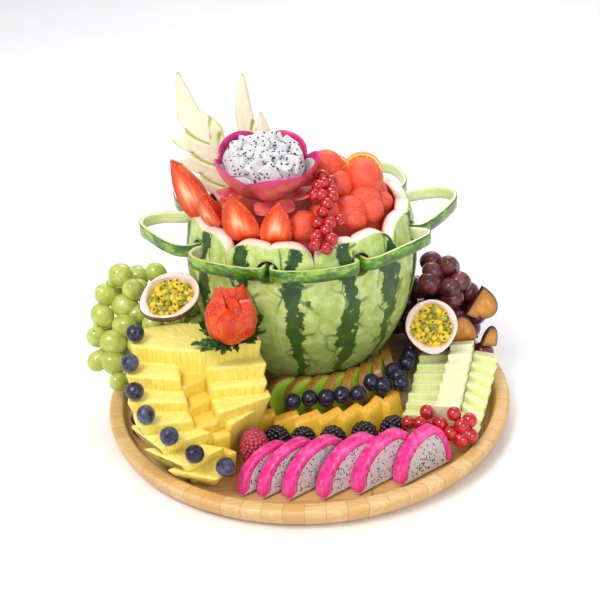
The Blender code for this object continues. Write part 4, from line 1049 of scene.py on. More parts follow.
def berryOutline(width, length):
    knots = np.array([(0.0, 0.02), (0.28, 0.0), (0.45, 0.12), (0.49, 0.30), (0.45, 0.50), (0.33, 0.70),
                      (0.12, 0.92), (0.0, 1.02), (-0.12, 0.92), (-0.33, 0.70), (-0.45, 0.50), (-0.49, 0.30),
                      (-0.45, 0.12), (-0.28, 0.0)])
    loop = np.vstack([knots[-2:], knots, knots[:3]])
    path = curveThrough(loop, 8)[16:-16]
    path = path[:-1]
    return np.stack([path[:, 0] * width, (path[:, 1] - 0.45) * length], -1)


def buildStrawberries(finish):
    draw = random.Random(12)
    for name, (place, heading, lean, roll, width, length, thickness) in strawberries.items():
        made = slab(berryOutline(width, length), thickness, edge=2.2, dome=1.2)
        made["tone"][:] = draw.random()
        half = made["points"][:, 1] > thickness * 0.45  # the skin side is domed
        reach = np.clip(made["points"][:, 1] / thickness, 0, 1)
        shrink = 1 - 0.30 * reach ** 2
        made["points"][:, 0] *= shrink
        made["points"][:, 2] *= shrink
        made["zone"][half] = 1.0
        made = roughened(made, 0.35, 0.12, draw.random())
        made = placed(made, pose(place, heading, lean, roll))
        makePiece(name.replace("_", "Slice"), matched(made, name), [name], finish, crease=0)


# half slices of orange

def orangeFinish():
    look = {"flesh": "fba01a", "deep": "f07c0c", "pale": "ffe2a0", "rind": "f39a1c"}
    made, shader = newFinish("orangeFlesh", 0.28, Coat_Weight=0.2, Subsurface_Weight=0.15,
                             Subsurface_Scale=0.003)
    place = read(shader, "local")
    x, _, z = parts(place)
    spread = calc("ARCTAN2", z, x) * (10.0 / (2 * math.pi))
    wall = calc("PINGPONG", spread, 0.5)
    radius = calc("SQRT", x * x + z * z)
    wallLine = under(wall * radius, 0.9)
    juice = cloudy(together(spread * 6.0, radius * 0.25, 0.0), 1.2, 3.0, 0.6)
    face = ramp(juice, [(0.3, look["deep"]), (0.65, look["flesh"])])
    face = mixed(wallLine * 0.7, face, look["pale"])
    pith = between(radius, 17.6, 18.4)
    face = mixed(pith, face, look["pale"])
    outer = over(radius, 19.6)
    colourOf(shader, mixed(outer, face, look["rind"]))
    relief(shader, juice, 0.4, 0.0008)
    return made


def halfDisc(halfWidth, height, count, floorCount):
    # a half disc that stands on its straight side, which has points of its own
    a = np.radians(np.linspace(0.0, 180.0, count))
    arc = np.stack([halfWidth * np.cos(a), height * np.sin(a)], -1)
    floor = np.stack([np.linspace(-halfWidth, halfWidth, floorCount)[1:-1], np.zeros(floorCount - 2)], -1)
    return np.vstack([arc, floor])


def buildOranges():
    finish = orangeFinish()
    for name, heading in (("orange_slice_1", 6.0), ("orange_slice_2", -4.0)):
        made = slab(halfDisc(20.5, 20.5, 48, 24), 7.0, edge=0.9)
        made["local"] = made["points"].copy()
        made = placed(made, pose((0, 0, 0), heading, 10.0))
        makePiece(name.replace("_", ""), matched(made, name), [name], finish, crease=40)


# strands of currants

hangingCurrants = [(22, 16, 243), (22, 7, 239), (30, 13, 238), (30, 5, 232), (17, 3, 238), (13, -4, 233),
                   (20, -5, 232), (30, -5, 230), (24, -12, 226), (20, -19, 221), (15, -26, 214),
                   (27, -27, 214), (35, -22, 214), (22, -35, 210), (13, -39, 207), (12, -47, 202),
                   (27, -45, 205), (22, -52, 200)]
frontCurrants = [(109, -89, 41), (102, -97, 33), (91, -94, 33), (112, -90, 30), (121, -98, 33),
                 (129, -107, 28), (140, -107, 37), (133, -99, 44), (147, -102, 38), (142, -108, 29),
                 (147, -111, 27), (138, -112, 24)]


def currantFinish():
    look = {"red": "c9121c", "deep": "960a16", "light": "e93a2e", "stem": "8a8a3a", "tip": "3a1c14",
            "rib": "f5836a"}
    made, shader = newFinish("currantSkin", 0.08, Coat_Weight=0.6, Coat_Roughness=0.04,
                             Subsurface_Weight=0.2, Subsurface_Scale=0.004)
    shader.inputs["Subsurface Radius"].default_value = (1.0, 0.12, 0.08)
    place = read(shader, "local")
    x, y, _ = parts(place)
    zone = read(shader, "zone")
    tone = read(shader, "tone")
    around = calc("ARCTAN2", y, x)
    rib = calc("PINGPONG", around * (12.0 / (2 * math.pi)), 0.5)
    cloud = cloudy(place, 1.4, 3.0, 0.6)
    colour = ramp(cloud, [(0.3, look["deep"]), (0.55, look["red"]), (0.8, look["light"])])
    colour = mixed(tone * 0.45, colour, look["deep"])
    colour = mixed(under(rib, 0.04) * 0.16, colour, look["rib"])
    colour = mixed(over(zone, 0.4), colour, look["tip"])
    colour = mixed(over(zone, 0.8), colour, look["stem"])
    colourOf(shader, colour)
    relief(shader, cloud, 0.06, 0.0004)
    return made


def currantStrand(berries, radius, seed):
    # as in the CAD: each berry is drawn to the nearest of those before it
    draw = random.Random(seed)
    apartMost = 1.8 * radius
    places, shapes = [], []
    for berry in berries:
        place = np.array(berry, float)
        if places:
            gaps = [np.linalg.norm(p - place) for p in places]
            apart = min(gaps)
            nearest = places[gaps.index(apart)]
            if apart > apartMost:
                place = nearest + (place - nearest) * (apartMost / apart)
                twig = [nearest + (place - nearest) * t + np.array([0, 0, 1.6 * math.sin(math.pi * t)])
                        for t in (0, 0.5, 1)]
                stem = tube(twig, 0.55, 6)
                stem["zone"][:] = 1.0
                shapes.append(stem)
        places.append(place)
        r = radius * draw.uniform(0.93, 1.05)
        ball = orb((r, r, r * draw.uniform(0.95, 1.02)), 26, 17, draw.random())
        tip = lathe([(0.3, r * 0.96), (1.0, r), (0.75, r * 1.08), (0.35, r * 1.16), (0.1, r * 1.17)], 8)
        tip["zone"][:] = 0.5
        way = (draw.uniform(-1, 1), draw.uniform(-1.2, 0.1), draw.uniform(-0.9, 0.5))
        shapes.append(placed(joined([ball, tip]), facing(place, way)))
    return joined(shapes)


def buildCurrants():
    finish = currantFinish()
    strands = {"currants_hanging": (hangingCurrants, 6.2), "currants_front": (frontCurrants, 7.2)}
    for name, (berries, radius) in strands.items():
        shape = matched(currantStrand(berries, radius, len(name)), name)
        makePiece(name.replace("_", ""), shape, [name], finish, crease=0)


# half a pineapple, sliced across and stepped down to the front, with a trench along its core

pineappleSlices = [(118, (-165, -63), (-118, -76), (-95, -80), (-41, -66)),
                   (101, (-169, -88), (-115, -99), (-95, -84), (-36, -80)),
                   (86, (-166, -112), (-109, -114), (-90, -95), (-35, -88)),
                   (74, (-155, -134), (-104, -127), (-83, -117), (-33, -92)),
                   (62, (-134, -152), (-87, -128), (-72, -119), (-53, -101)),
                   (50, (-111, -164), (-76, -136), (-68, -131), None),
                   (38, (-84, -170), (-70, -146), None, None)]


def pineappleFinish():
    look = {"bright": "faea8e", "main": "f4dc58", "deep": "e9c93c", "cut": "fbf0a8", "skin": "a9aa45",
            "skinDark": "7d7a30", "brown": "85582a", "trench": "e8be2c"}
    made, shader = newFinish("pineappleFlesh", 0.36, Subsurface_Weight=0.15, Subsurface_Scale=0.004)
    place = read(shader, "local")
    x, y, z = parts(place)
    zone = read(shader, "zone")  # 1 on skin
    wall = read(shader, "tone")  # 1 on standing faces, 0 on cut tops
    fibreWall = cloudy(stretched(place, (1.0, 1.0, 0.14)), 0.42, 5.0, 0.7)
    radial = together(calc("ARCTAN2", y + 75.0, x + 95.0) * 26.0, x * 0.10, y * 0.10)
    fibreTop = cloudy(radial, 0.55, 4.0, 0.7)
    isWall = between(wall, 0.3, 0.7)
    fibre = mixed(isWall, fibreTop, fibreWall)
    broad = cloudy(place, 0.035, 2.0, 0.5)
    colour = ramp(fibre, [(0.34, look["deep"]), (0.49, look["main"]), (0.66, look["bright"])])
    colour = mixed(broad * 0.35, colour, look["main"])
    # painted light: the cut tops, facing up, are mixed towards a paler yellow than the standing faces
    colour = mixed((1.0 - isWall) * 0.3, colour, look["cut"])
    # painted shade: the blocks in the trench along the core (zone -1) are mixed towards a deeper yellow
    colour = mixed(between(zone, -0.1, -1.0, 0.6), colour, look["trench"])
    low = between(z, 60.0, 12.0, 0.3)
    colour = mixed(low, colour, look["deep"])
    eye = cells(place, 0.085)
    skin = ramp(eye + fibreWall * 0.3, [(0.25, look["skinDark"]), (0.45, look["skin"]),
                                        (0.75, look["brown"])])
    speck = over(cloudy(place, 0.30, 3.0, 0.6), 0.63)
    isSkin = between(zone + (broad - 0.5) * 0.5, 0.5, 0.62)
    skin = mixed(speck * 0.8, skin, look["brown"])
    colourOf(shader, mixed(isSkin, colour, skin))
    relief(shader, fibre, 0.65, 0.0014)
    return made


def buildPineapple():
    centre = np.array([-100.0, -85.0])
    back = [(-158, -30), (-124, -20), (-98, -26), (-44, -50)]
    edges = [back] + [list(row[1:]) for row in pineappleSlices]

    def footOf(corner, share):
        low = centre + (np.array(corner[:2]) - centre) * share
        low *= min(1.0, 177.0 / np.linalg.norm(low))
        return low[0], low[1], 10.3

    shapes = []
    for k, row in enumerate(pineappleSlices):
        front, rear = edges[k + 1], edges[max(k - 1, 0)]
        for side in range(3):
            if front[side + 1] is None:
                continue
            trench = side == 1 and k > 0
            high = row[0] - (10 if trench else 0)
            spread = 1.5 if trench else 0.0
            rise = 0.0 if k == 0 else 1.0
            sink = 1.5 if trench else 0.0
            lap = (0.0, 0.0)
            if k == 0:
                lap = ((0.0, 4.0), (4.0, 4.0), (4.0, 0.0))[side]  # the rear slice is one piece
            top = [(front[side][0] - spread - lap[0], front[side][1] + sink, high),
                   (front[side + 1][0] + spread + lap[1], front[side + 1][1] + sink, high),
                   (rear[side + 1][0] + spread + lap[1], rear[side + 1][1] + 0.3 * k, high + rise),
                   (rear[side][0] - spread - lap[0], rear[side][1] + 0.3 * k, high + rise)]
            low = [footOf(corner, (0.66, 0.90, 0.55)[side]) for corner in top]
            one = block(low, top, 4.2, 11)
            points = one["points"]
            out = outwardOf(points, one["faces"])
            one["tone"] = 1.0 - np.clip(np.abs(out[:, 2]), 0, 1)
            nearTray = np.clip((46 - points[:, 2]) / 26, 0, 1)
            leftSkin = np.clip((-out[:, 0] - 0.5) * 3, 0, 1) * (side == 0)
            rightSkin = np.clip((out[:, 0] - 0.75) * 5, 0, 1) * (side == 2)
            below = np.clip((-out[:, 2] - 0.12) * 5, 0, 1) * (side == 0)
            below = below * np.clip((-out[:, 0] - 0.35) * 4, 0, 1)
            skin = leftSkin * (0.25 + 0.75 * nearTray) + rightSkin * (0.6 + 0.4 * nearTray) + below
            one["zone"] = np.clip(skin, 0, 1)
            # zone -1 makes the finish paint the trench blocks a deeper yellow: painted shade in the recess
            if trench:
                one["zone"][:] = -1.0
            one["local"] = points.copy()
            fibre = noiseAt(points, (0.3, 0.3, 0.06), 2) * 0.35 * one["tone"]
            soft = noiseAt(points, 0.05, 5 + k) * 1.1 + fibre
            one["points"] = points + out * (soft - 0.25)[:, None]
            shapes.append(one)
    finish = pineappleFinish()
    makePiece("pineappleHalf", joined(shapes), ["pineapple"], finish, crease=0)


# blueberries with their crowns

blueberryRow = [(-16, -62, 43), (0, -59, 44), (16, -58, 43), (31, -56, 44), (47, -54, 43), (61, -39, 46),
                (72, -43, 44), (83, -22, 47), (88, -31, 46), (90, -41, 44), (98, -6, 46), (103, 12, 45)]


def blueberryFinish():
    look = {"skin": "141a30", "bloom": "6f7c9c", "purple": "291f3a", "crown": "2c2630", "pit": "100c14"}
    made, shader = newFinish("blueberrySkin", 0.5)
    place = read(shader, "local")
    zone = read(shader, "zone")
    tone = read(shader, "tone")
    place = movedBy(place, tone, 31.0)
    cloud = cloudy(place, 1.1, 4.0, 0.65)
    smear = cloudy(stretched(place, (1, 1, 2.4)), 2.6, 3.0, 0.6)
    bloom = between(cloud + smear * 0.25, 0.50, 0.78)
    strength = between(tone, 0.0, 1.0, 0.75)
    colour = mixed(cloud, look["skin"], look["purple"])
    colour = mixed(bloom * strength, colour, look["bloom"])
    colour = mixed(over(zone, 0.4), colour, look["crown"])
    colour = mixed(over(zone, 0.8), colour, look["pit"])
    colourOf(shader, colour)
    shineOf(shader, bloom * strength, 0.2, 0.7)
    relief(shader, cloud, 0.12, 0.0004)
    return made


def blueberry(radius, draw, dark=0.0):
    made = orb((radius, radius, radius * 0.91), 30, 26, draw.random() * (1 - dark))
    p = made["points"]
    reach = np.hypot(p[:, 0], p[:, 1]) / radius
    top = p[:, 2] > 0
    a = np.arctan2(p[:, 1], p[:, 0])
    star = 0.30 + 0.05 * np.cos(5 * a)
    rimUp = np.exp(-((reach - star) / 0.055) ** 2) * 0.95
    pit = np.clip((star - reach) / 0.12, 0, 1) * 0.9
    p[:, 2] += np.where(top, rimUp - pit, 0.0)
    made["zone"] = np.where(top & (reach < star + 0.05), 0.5, 0.0)
    made["zone"] = np.where(top & (reach < star - 0.1), 1.0, made["zone"])
    return made


def buildBlueberries():
    draw = random.Random(21)
    finish = blueberryFinish()
    ways = [(0.3, -0.75, 0.6), (-0.5, -0.5, 0.7), (0.2, -0.2, 1.0), (0.7, -0.6, 0.4), (-0.1, -0.9, 0.4),
            (0.3, -0.5, 0.8), (-0.2, -0.7, 0.7)]
    for k, way in enumerate(ways):
        name = f"blueberry_{k + 1}"
        shape = blueberry(8.6, draw)
        shape = placed(shape, facing((0, 0, 0), way, draw.uniform(0, 72)))
        shape = matched(shape, name, foot=True)
        makePiece(name.replace("_", "Single"), shape, [name], finish, crease=0)
    low, high = nodeBox("blueberry_row")
    shapes = []
    for place in blueberryRow:
        way = (draw.uniform(-1, 1), draw.uniform(-1.2, 0.0), draw.uniform(-0.2, 1.0))
        r = 8.45 * draw.uniform(0.95, 1.06)
        shapes.append(placed(blueberry(r, draw, 0.9), facing(place, way, draw.uniform(0, 72))))
    shape = joined(shapes)
    rise = (low[2] + high[2]) / 2 - (shape["points"][:, 2].min() + shape["points"][:, 2].max()) / 2
    shape = shifted(shape, (0, 0, rise))
    makePiece("blueberryRow", shape, ["blueberry_row"], finish, crease=0)


# strawberry rose and the leaves under it

def petal(width, height, cup, curl, tone):
    # a standing petal: foot at the origin, cupped towards +Y, its tip pointed
    u, v = np.meshgrid(np.linspace(-1, 1, 19), np.linspace(0, 1, 21))
    swell = 0.72 + 0.28 * np.sin(math.pi * np.minimum(v * 1.1, 1))
    half = width / 2 * swell * np.maximum(1 - v ** 2.7, 0.0) ** 0.72 + 0.25
    out = -curl * np.sin(math.pi * v * 0.9) - 0.25 * curl * v ** 3
    front = np.stack([u * half, out + cup * u * u, height * v], -1)
    inner = front + np.array([0, 2.4, 0]) * (1 - 0.55 * v[..., None])
    made = loft(np.concatenate([front, inner[:, ::-1]], 1), tone)
    both = np.concatenate([np.where(v < 0.86, 1.0, 0.9), (0.62 + 0.2 * v)[:, ::-1]], 1)
    made["zone"] = np.concatenate([both.ravel(), [1.0, 0.7]])
    return made


def buildRose(finish):
    draw = random.Random(5)
    body = lathe([(3, -25), (8, -24.4), (15, -20), (20.5, -13), (23.5, -6), (23.5, 1), (20, 6), (12, 9),
                  (4, 10)], 72, 0.3)
    body["zone"][:] = 1.0
    shapes = [roughened(body, 0.5, 0.1, 2)]
    # rows of petals: count, reach, width, height, cup, curl, foot, first angle
    rows = [(5, 21.5, 38, 38, 10.0, 4.2, -16, 52), (4, 16.0, 30, 36, 8.5, 3.0, -8, 30),
            (3, 9.5, 20, 34, 6.0, 1.5, -1, 10)]
    for count, reach, width, height, cup, curl, foot, start in rows:
        for k in range(count):
            a = math.radians(start + 360.0 * k / count + draw.uniform(-5, 5))
            wide = width * draw.uniform(0.94, 1.06)
            tall = height * draw.uniform(0.94, 1.06)
            one = petal(wide, tall, cup, curl, draw.random())
            tip = turned(draw.uniform(-9, -3) if reach > 10 else -7, "X")
            where = Matrix.Rotation(a + math.pi / 2, 4, "Z") @ spot(0, -reach, foot) @ tip
            shapes.append(placed(one, where))
    bud = lathe([(1, 6), (4.4, 9), (5.0, 14), (3.9, 18.5), (2.0, 21.5), (0.5, 22.5)], 32, 0.6)
    bud["zone"][:] = 0.9
    shapes.append(bud)
    shape = placed(joined(shapes), pose((0, 0, 0), 0.0, -14.0))
    makePiece("strawberryRose", matched(shape, "rose"), ["rose"], finish, crease=0)


# leaves of the sprig: heading, rise, length, share of the length before the bend
sprigLeaves = [(5, 20, 33, 0.45), (56, 90, 66, 0.43), (132, 88, 62, 0.46), (190, 2, 38, 0.45),
               (250, -4, 26, 0.45)]


def herbFinish():
    look = {"deep": "12300e", "main": "24521a", "light": "4f8a33", "vein": "7ba857"}
    made, shader = newFinish("herbLeaf", 0.42, Subsurface_Weight=0.05, Subsurface_Scale=0.002)
    place = read(shader, "local")
    x, y, _ = parts(place)
    cloud = cloudy(place, 0.25, 4.0, 0.6)
    colour = ramp(cloud, [(0.32, look["deep"]), (0.5, look["main"]), (0.72, look["light"])])
    slant = calc("FRACT", (x - calc("ABSOLUTE", y) * 0.8) / 4.6)
    vein = calc("MAXIMUM", under(slant, 0.07), under(calc("ABSOLUTE", y), 0.35))
    colour = mixed(vein * 0.5, colour, look["vein"])
    colourOf(shader, colour)
    relief(shader, cloud - vein, 0.5, 0.0006)
    return made


def acrossLeaf(along, half, spread):
    # where one ring of a leaf lies within the leaf: over the top, and back underneath
    return [(along, half * w, 0) for w in spread] + [(along, half * w, 1) for w in spread[::-1]]


def buildSprig():
    foot = np.array([-68.0, -72.0, 123.0])
    shapes = []
    blades = [(h, r, l, b, 1.0) for h, r, l, b in sprigLeaves]
    blades += [(28, 8, 27, 0.5, 0.8), (92, 70, 44, 0.45, 0.7), (112, 86, 52, 0.5, 0.75),
               (160, 20, 34, 0.45, 0.8), (215, 2, 34, 0.45, 0.9), (232, 0, 24, 0.45, 0.7),
               (285, -4, 22, 0.45, 0.8), (335, 6, 24, 0.45, 0.8)]
    for heading, rise, length, bend, size in blades:
        run = np.linspace(0.0, 1.0, 46)
        body = np.sin(math.pi * run ** 0.8) ** 0.8
        teeth = 1.0 - 0.45 * np.abs(((run * 6.5) % 1.0) - 0.5) * 2.0
        half = 0.21 * length * size * body * teeth + 0.4
        u = np.linspace(-1, 1, 9)
        turn = math.radians(heading)
        out = np.array([math.cos(turn), math.sin(turn), 0.0])
        side = np.array([-math.sin(turn), math.cos(turn), 0.0])
        slope = math.radians(rise)
        rings, local = [], []
        for share, h in zip(run, half):
            distance = 2.0 + share * (length - 2.0)
            raised = max(0.0, distance - bend * length)
            flat = distance - raised * (1.0 - math.cos(slope))
            lean = slope if raised > 0 else 0.0
            centre = foot + out * flat + np.array([0, 0, raised * math.sin(slope)])
            normal = np.array([0, 0, math.cos(lean)]) - out * math.sin(lean)
            wave = 0.7 * math.sin(share * 21 + heading)
            row = [centre + side * (h * w) + normal * (1.8 * abs(w) + wave * abs(w)) for w in u]
            rings.append(row + [p - normal * 0.5 for p in row[::-1]])
            local += acrossLeaf(share * length, h, u)
        blade = loft(np.array(rings))
        blade["local"] = np.array(local + [(0, 0, 0), (length, 0, 0)])
        shapes.append(blade)
        lobes = (-1, 1) if size == 1.0 else ()  # the leaves that the photo shows have two each
        for lobe in lobes:
            start = rings[19][4]
            way = out * math.cos(slope) + np.array([0, 0, math.sin(slope)]) * (1 if rise > 10 else 0)
            tipWay = way * 0.75 + side * lobe * 0.75
            tipWay /= np.linalg.norm(tipWay)
            flank = np.cross(tipWay, np.array([0, 0, math.cos(slope)]) - out * math.sin(slope))
            normal = np.cross(flank, tipWay)
            lobeLength = 0.36 * length
            lobeRings, lobeLocal = [], []
            for share in np.linspace(0, 1, 24):
                teeth = 1 - 0.4 * abs((share * 4.5) % 1 - 0.5)
                h = 0.22 * lobeLength * math.sin(math.pi * share ** 0.8) ** 0.8 * teeth + 0.3
                centre = np.array(start) + tipWay * lobeLength * share
                row = [centre + flank * h * w + normal * abs(w) * 0.8 for w in u]
                lobeRings.append(row + [p - normal * 0.45 for p in row[::-1]])
                lobeLocal += acrossLeaf(share * lobeLength, h, u)
            part = loft(np.array(lobeRings))
            part["local"] = np.array(lobeLocal + [(0, 0, 0), (lobeLength, 0, 0)])
            shapes.append(part)
    rise = nodeBox("rose_leaves")[0][2] + 5 - foot[2]
    shape = shifted(joined(shapes), (0, 0, rise))
    makePiece("roseLeaves", shape, ["rose_leaves"], herbFinish(), crease=0)


# passion fruit halves: cup, pulp and seeds

def passionFinish():
    look = {"skin": "7a4a42", "skinDark": "5a332f", "olive": "8c7a4a", "pith": "f8ebe2", "pink": "efc4bb",
            "pulp": "efcf3c", "pulpDark": "8f9130", "seed": "56551f", "pulpMain": "d0bb38"}
    made, shader = newFinish("passionFruit", 0.3)
    place = read(shader, "local")
    zone = read(shader, "zone")
    cloud = cloudy(place, 0.12, 4.0, 0.6)
    fine = cloudy(place, 0.6, 3.0, 0.6)
    skin = ramp(cloud, [(0.35, look["skinDark"]), (0.5, look["skin"]), (0.7, look["olive"])])
    pith = ramp(fine, [(0.35, look["pink"]), (0.6, look["pith"])])
    pulp = ramp(fine * 0.6 + read(shader, "tone") * 0.5, [(0.36, look["pulpDark"]), (0.5, look["pulpMain"]),
                                                          (0.66, look["pulp"])])
    colour = mixed(over(zone, 0.2), skin, pith)
    colour = mixed(over(zone, 0.5), colour, pulp)
    colour = mixed(over(zone, 0.8), colour, look["seed"])
    colourOf(shader, colour)
    wet = between(zone, 0.3, 0.6, 0.08, 0.45)
    feed(wet, shader.inputs["Roughness"])
    relief(shader, cloud + fine, 0.3, 0.0007)
    return made


def buildPassion():
    finish = passionFinish()
    halves = {"passion_left": ((0.10, -0.54, 0.84), 205.0, 29.0, 24.0),
              "passion_right": ((-0.15, -0.85, 0.52), -80.0, 25.5, 26.0)}
    columns = 72
    turn = aroundCircle(columns)
    point = 1.0 + 0.16 * np.maximum(0.0, np.cos(turn)) ** 4
    lobes = 1.0 - 0.07 * (1 + np.cos(3 * turn + 0.6)) - 0.02 * np.cos(7 * turn)
    for name, (normal, spin, width, height) in halves.items():
        draw = random.Random(width)
        rings, zones = [], []
        # rows of the cup: share of its size, depth under the cut, zone
        rows = [(0.10, -25.4, 0), (0.25, -25, 0), (0.48, -23.2, 0), (0.68, -20, 0), (0.84, -15.2, 0),
                (0.93, -10, 0), (0.98, -5, 0), (1.0, -1.2, 0.1), (0.985, 0.2, 0.14), (0.965, 0.6, 0.3),
                (0.92, 0.5, 0.4), (0.88, -0.6, 0.4), (0.85, -3.5, 0.4), (0.79, -7, 0.6), (0.5, -8.5, 0.6),
                (0.2, -9, 0.6)]
        for shrink, depth, zone in rows:
            inner = lobes if zone >= 0.4 and shrink < 0.95 else np.ones(columns)
            rings.append(np.stack([width * shrink * point * inner * np.cos(turn),
                                   height * shrink * inner * np.sin(turn), np.full(columns, depth)], -1))
            zones.append(np.full(columns, zone))
        cup = loft(np.array(rings))
        cup["zone"] = np.concatenate(zones + [np.array([0.0, 0.6])])
        shapes = [roughened(cup, 0.5, 0.1, width)]
        spots = []
        for _ in range(900):
            a, r = draw.uniform(0, 2 * math.pi), math.sqrt(draw.random()) * 0.76
            p = np.array([r * width * math.cos(a), r * height * math.sin(a)])
            if all(np.linalg.norm(p - q) > 4.3 for q in spots):
                spots.append(p)
        for p in spots:
            reach = np.linalg.norm(p / np.array([width, height]))
            lift = -5.6 - 3.0 * reach ** 2 + draw.uniform(-0.8, 1.4)
            where = spot(p[0], p[1], lift) @ Matrix.Rotation(draw.uniform(0, 6.3), 4, "Z")
            sac = orb((4.4 * draw.uniform(0.8, 1.2), 3.2, 3.4), 16, 10, draw.random())
            sac["local"] = sac["points"] + np.array([p[0], p[1], 0])
            sac["zone"][:] = 0.6
            seed = orb((2.3, 1.5, 1.2), 12, 8)
            seed["zone"][:] = 1.0
            tilt = Matrix.Rotation(draw.uniform(-0.3, 0.3), 4, "Y")
            shapes.append(placed(sac, where))
            if draw.random() < 0.4:
                shapes.append(placed(shifted(placed(seed, tilt), (0.6, 0.2, 2.3)), where))
        shape = placed(joined(shapes), facing((0, 0, 0), normal, spin))
        makePiece(name.replace("_", "Half"), matched(shape, name), [name], finish, crease=0)


# bunches of grapes: the ones seen in the photo, with a size each, then others that lie on the core

greenGrapes = [(-184, 60, 129, 1.1), (-200, 50, 113, 0.95), (-181, 45, 102, 1.1), (-169, 64, 110, 0.95),
               (-150, 76, 122, 0.9), (-204, 39, 95, 1.0), (-210, 25, 79, 0.9), (-193, 20, 75, 1.1),
               (-210, 15, 57, 0.9), (-194, 10, 57, 1.05), (-189, -1, 41, 0.85), (-170, 40, 94, 0.95),
               (-152, 22, 92, 0.95), (-206, 54, 80, 1.0), (-203, 38, 50, 0.95), (-192, 76, 108, 1.0),
               (-172, 90, 112, 1.0)]
redGrapes = [(127, 50, 108, 1.1), (132, 76, 120, 0.95), (147, 62, 121, 0.95), (132, 58, 117, 0.9),
             (147, 46, 104, 1.0), (158, 52, 107, 1.0), (150, 46, 93, 1.0), (169, 62, 90, 0.95),
             (152, 84, 108, 1.0), (119, 26, 72, 0.95), (137, 27, 72, 0.95), (162, 33, 42, 1.0),
             (181, 33, 34, 1.0)]
greenCore = [((-174, 58, 98), (17, 24, 27)), ((-190, 28, 66), (16, 24, 36)), ((-162, 40, 58), (24, 34, 45)),
             ((-144, 84, 62), (30, 33, 44)), ((-112, 118, 46), (34, 27, 32)), ((-79, 145, 38), (22, 18, 24)),
             ((-46, 160, 38), (32, 15, 24)), ((-14, 162, 34), (20, 13, 20))]
redCore = [((148, 66, 94), (20, 24, 24)), ((150, 72, 58), (26, 30, 44)), ((126, 30, 57), (20, 13, 25)),
           ((171, 45, 50), (22, 14, 26)), ((132, 96, 54), (29, 32, 40)), ((104, 126, 46), (28, 22, 27)),
           ((78, 147, 38), (22, 17, 24)), ((48, 160, 36), (30, 15, 22))]


grapeLooks = {
    "green": {"low": "9fae40", "main": "bbc658", "high": "d6db88", "scar": "8a7c3c", "shine": 0.12},
    "red": {"low": "38131f", "main": "632632", "high": "94474a", "scar": "5a4a2a", "shine": 0.12},
}


def grapeFinish(kind):
    look = grapeLooks[kind]
    made, shader = newFinish(kind + "GrapeSkin", 0.14, Coat_Weight=0.3, Coat_Roughness=0.08,
                             Subsurface_Weight=0.3, Subsurface_Scale=0.006)
    place = read(shader, "local")
    tone = read(shader, "tone")
    z = parts(place)[2]
    moved = movedBy(place, tone, 57.0)
    cloud = cloudy(moved, 0.9, 3.0, 0.55)
    veins = cloudy(stretched(moved, (3.0, 3.0, 0.5)), 1.6, 3.0, 0.6)
    stops = [(0.3, look["low"]), (0.5, look["main"]), (0.72, look["high"])]
    colour = ramp(cloud + (veins - 0.5) * 0.3, stops)
    colour = mixed(tone * 0.35, colour, look["main"])
    end = between(z, 0.987, 0.996)
    colour = mixed(end, colour, look["scar"])
    colourOf(shader, colour)
    shineOf(shader, cloud, look["shine"], look["shine"] + 0.16)
    relief(shader, veins, 0.05, 0.0004)
    return made


def buildGrapes(kind, grapes, core, radius, seed):
    name = kind + "_grapes"
    draw = random.Random(seed)
    low, high = nodeBox(name)
    centres = []
    for x, y, z, size in grapes:
        centres.append((np.array([x, y, z], float), radius * size))
    for _ in range(9000):
        centre, radii = core[draw.randrange(len(core))]
        way = np.array([draw.gauss(0, 1) for _ in range(3)])
        way /= np.linalg.norm(way)
        p = np.array(centre) + way * np.array(radii) * 0.86
        r = radius * draw.uniform(0.92, 1.12)
        reach = math.hypot(p[0], p[1] - melonSize["y"])
        pastRim = math.hypot(p[0], p[1]) > 186.0 - r * (1 if p[2] < 34 else 0.2)
        if reach < float(melonRadius(p[2])) + r or p[2] < 12.5 + r or pastRim:
            continue
        inset = r * 0.98
        if np.any(p - inset < low - 1.0) or np.any(p + inset > high + 1.0):
            continue
        if any(np.linalg.norm(p - q) < 0.80 * (r + s) for q, s in centres):
            continue
        if kind == "red" and p[1] < 34 + r and p[2] < 64 + r and 84 < p[0] < 198:
            continue
        if kind == "green" and p[1] < -8 + r and p[0] > -182:
            continue
        centres.append((p, r))
    shapes = []
    for p, r in centres:
        reach = math.hypot(p[0], p[1] - melonSize["y"])
        short = float(melonRadius(p[2])) + r * 1.02 - reach
        if short > 0:
            out = np.array([p[0], p[1] - melonSize["y"], 0.0]) / reach
            p = p + out * short
        length = draw.uniform(1.02, 1.2)
        ball = orb((r, r, r * length), 26, 17, draw.random())
        way = (draw.uniform(-1, 1), draw.uniform(-1, 0.6), draw.uniform(-0.5, 1.0))
        shapes.append(placed(ball, facing(p, way)))
    makePiece(kind + "Grapes", joined(shapes), [name], grapeFinish(kind), crease=0)


# plum slices

def plumFinish():
    look = {"flesh": "d38c22", "deep": "b06a1c", "pale": "e8ac40", "skin": "4a2219", "rim": "8c4a16"}
    made, shader = newFinish("plumSlice", 0.26, Coat_Weight=0.2, Subsurface_Weight=0.1,
                             Subsurface_Scale=0.003)
    place = read(shader, "local")
    zone = read(shader, "zone")
    grain = cloudy(stretched(place, (1, 1, 0.6)), 0.16, 4.0, 0.55)
    broad = cloudy(place, 0.08, 2.0, 0.5)
    face = ramp(grain, [(0.3, look["deep"]), (0.5, look["flesh"]), (0.7, look["pale"])])
    face = mixed(between(zone, 0.40, 0.96, 0.85), face, look["rim"])
    face = mixed(broad * 0.3, face, look["pale"])
    isSkin = over(zone, 0.985)
    colourOf(shader, mixed(isSkin, face, look["skin"]))
    relief(shader, grain, 0.2, 0.0005)
    return made


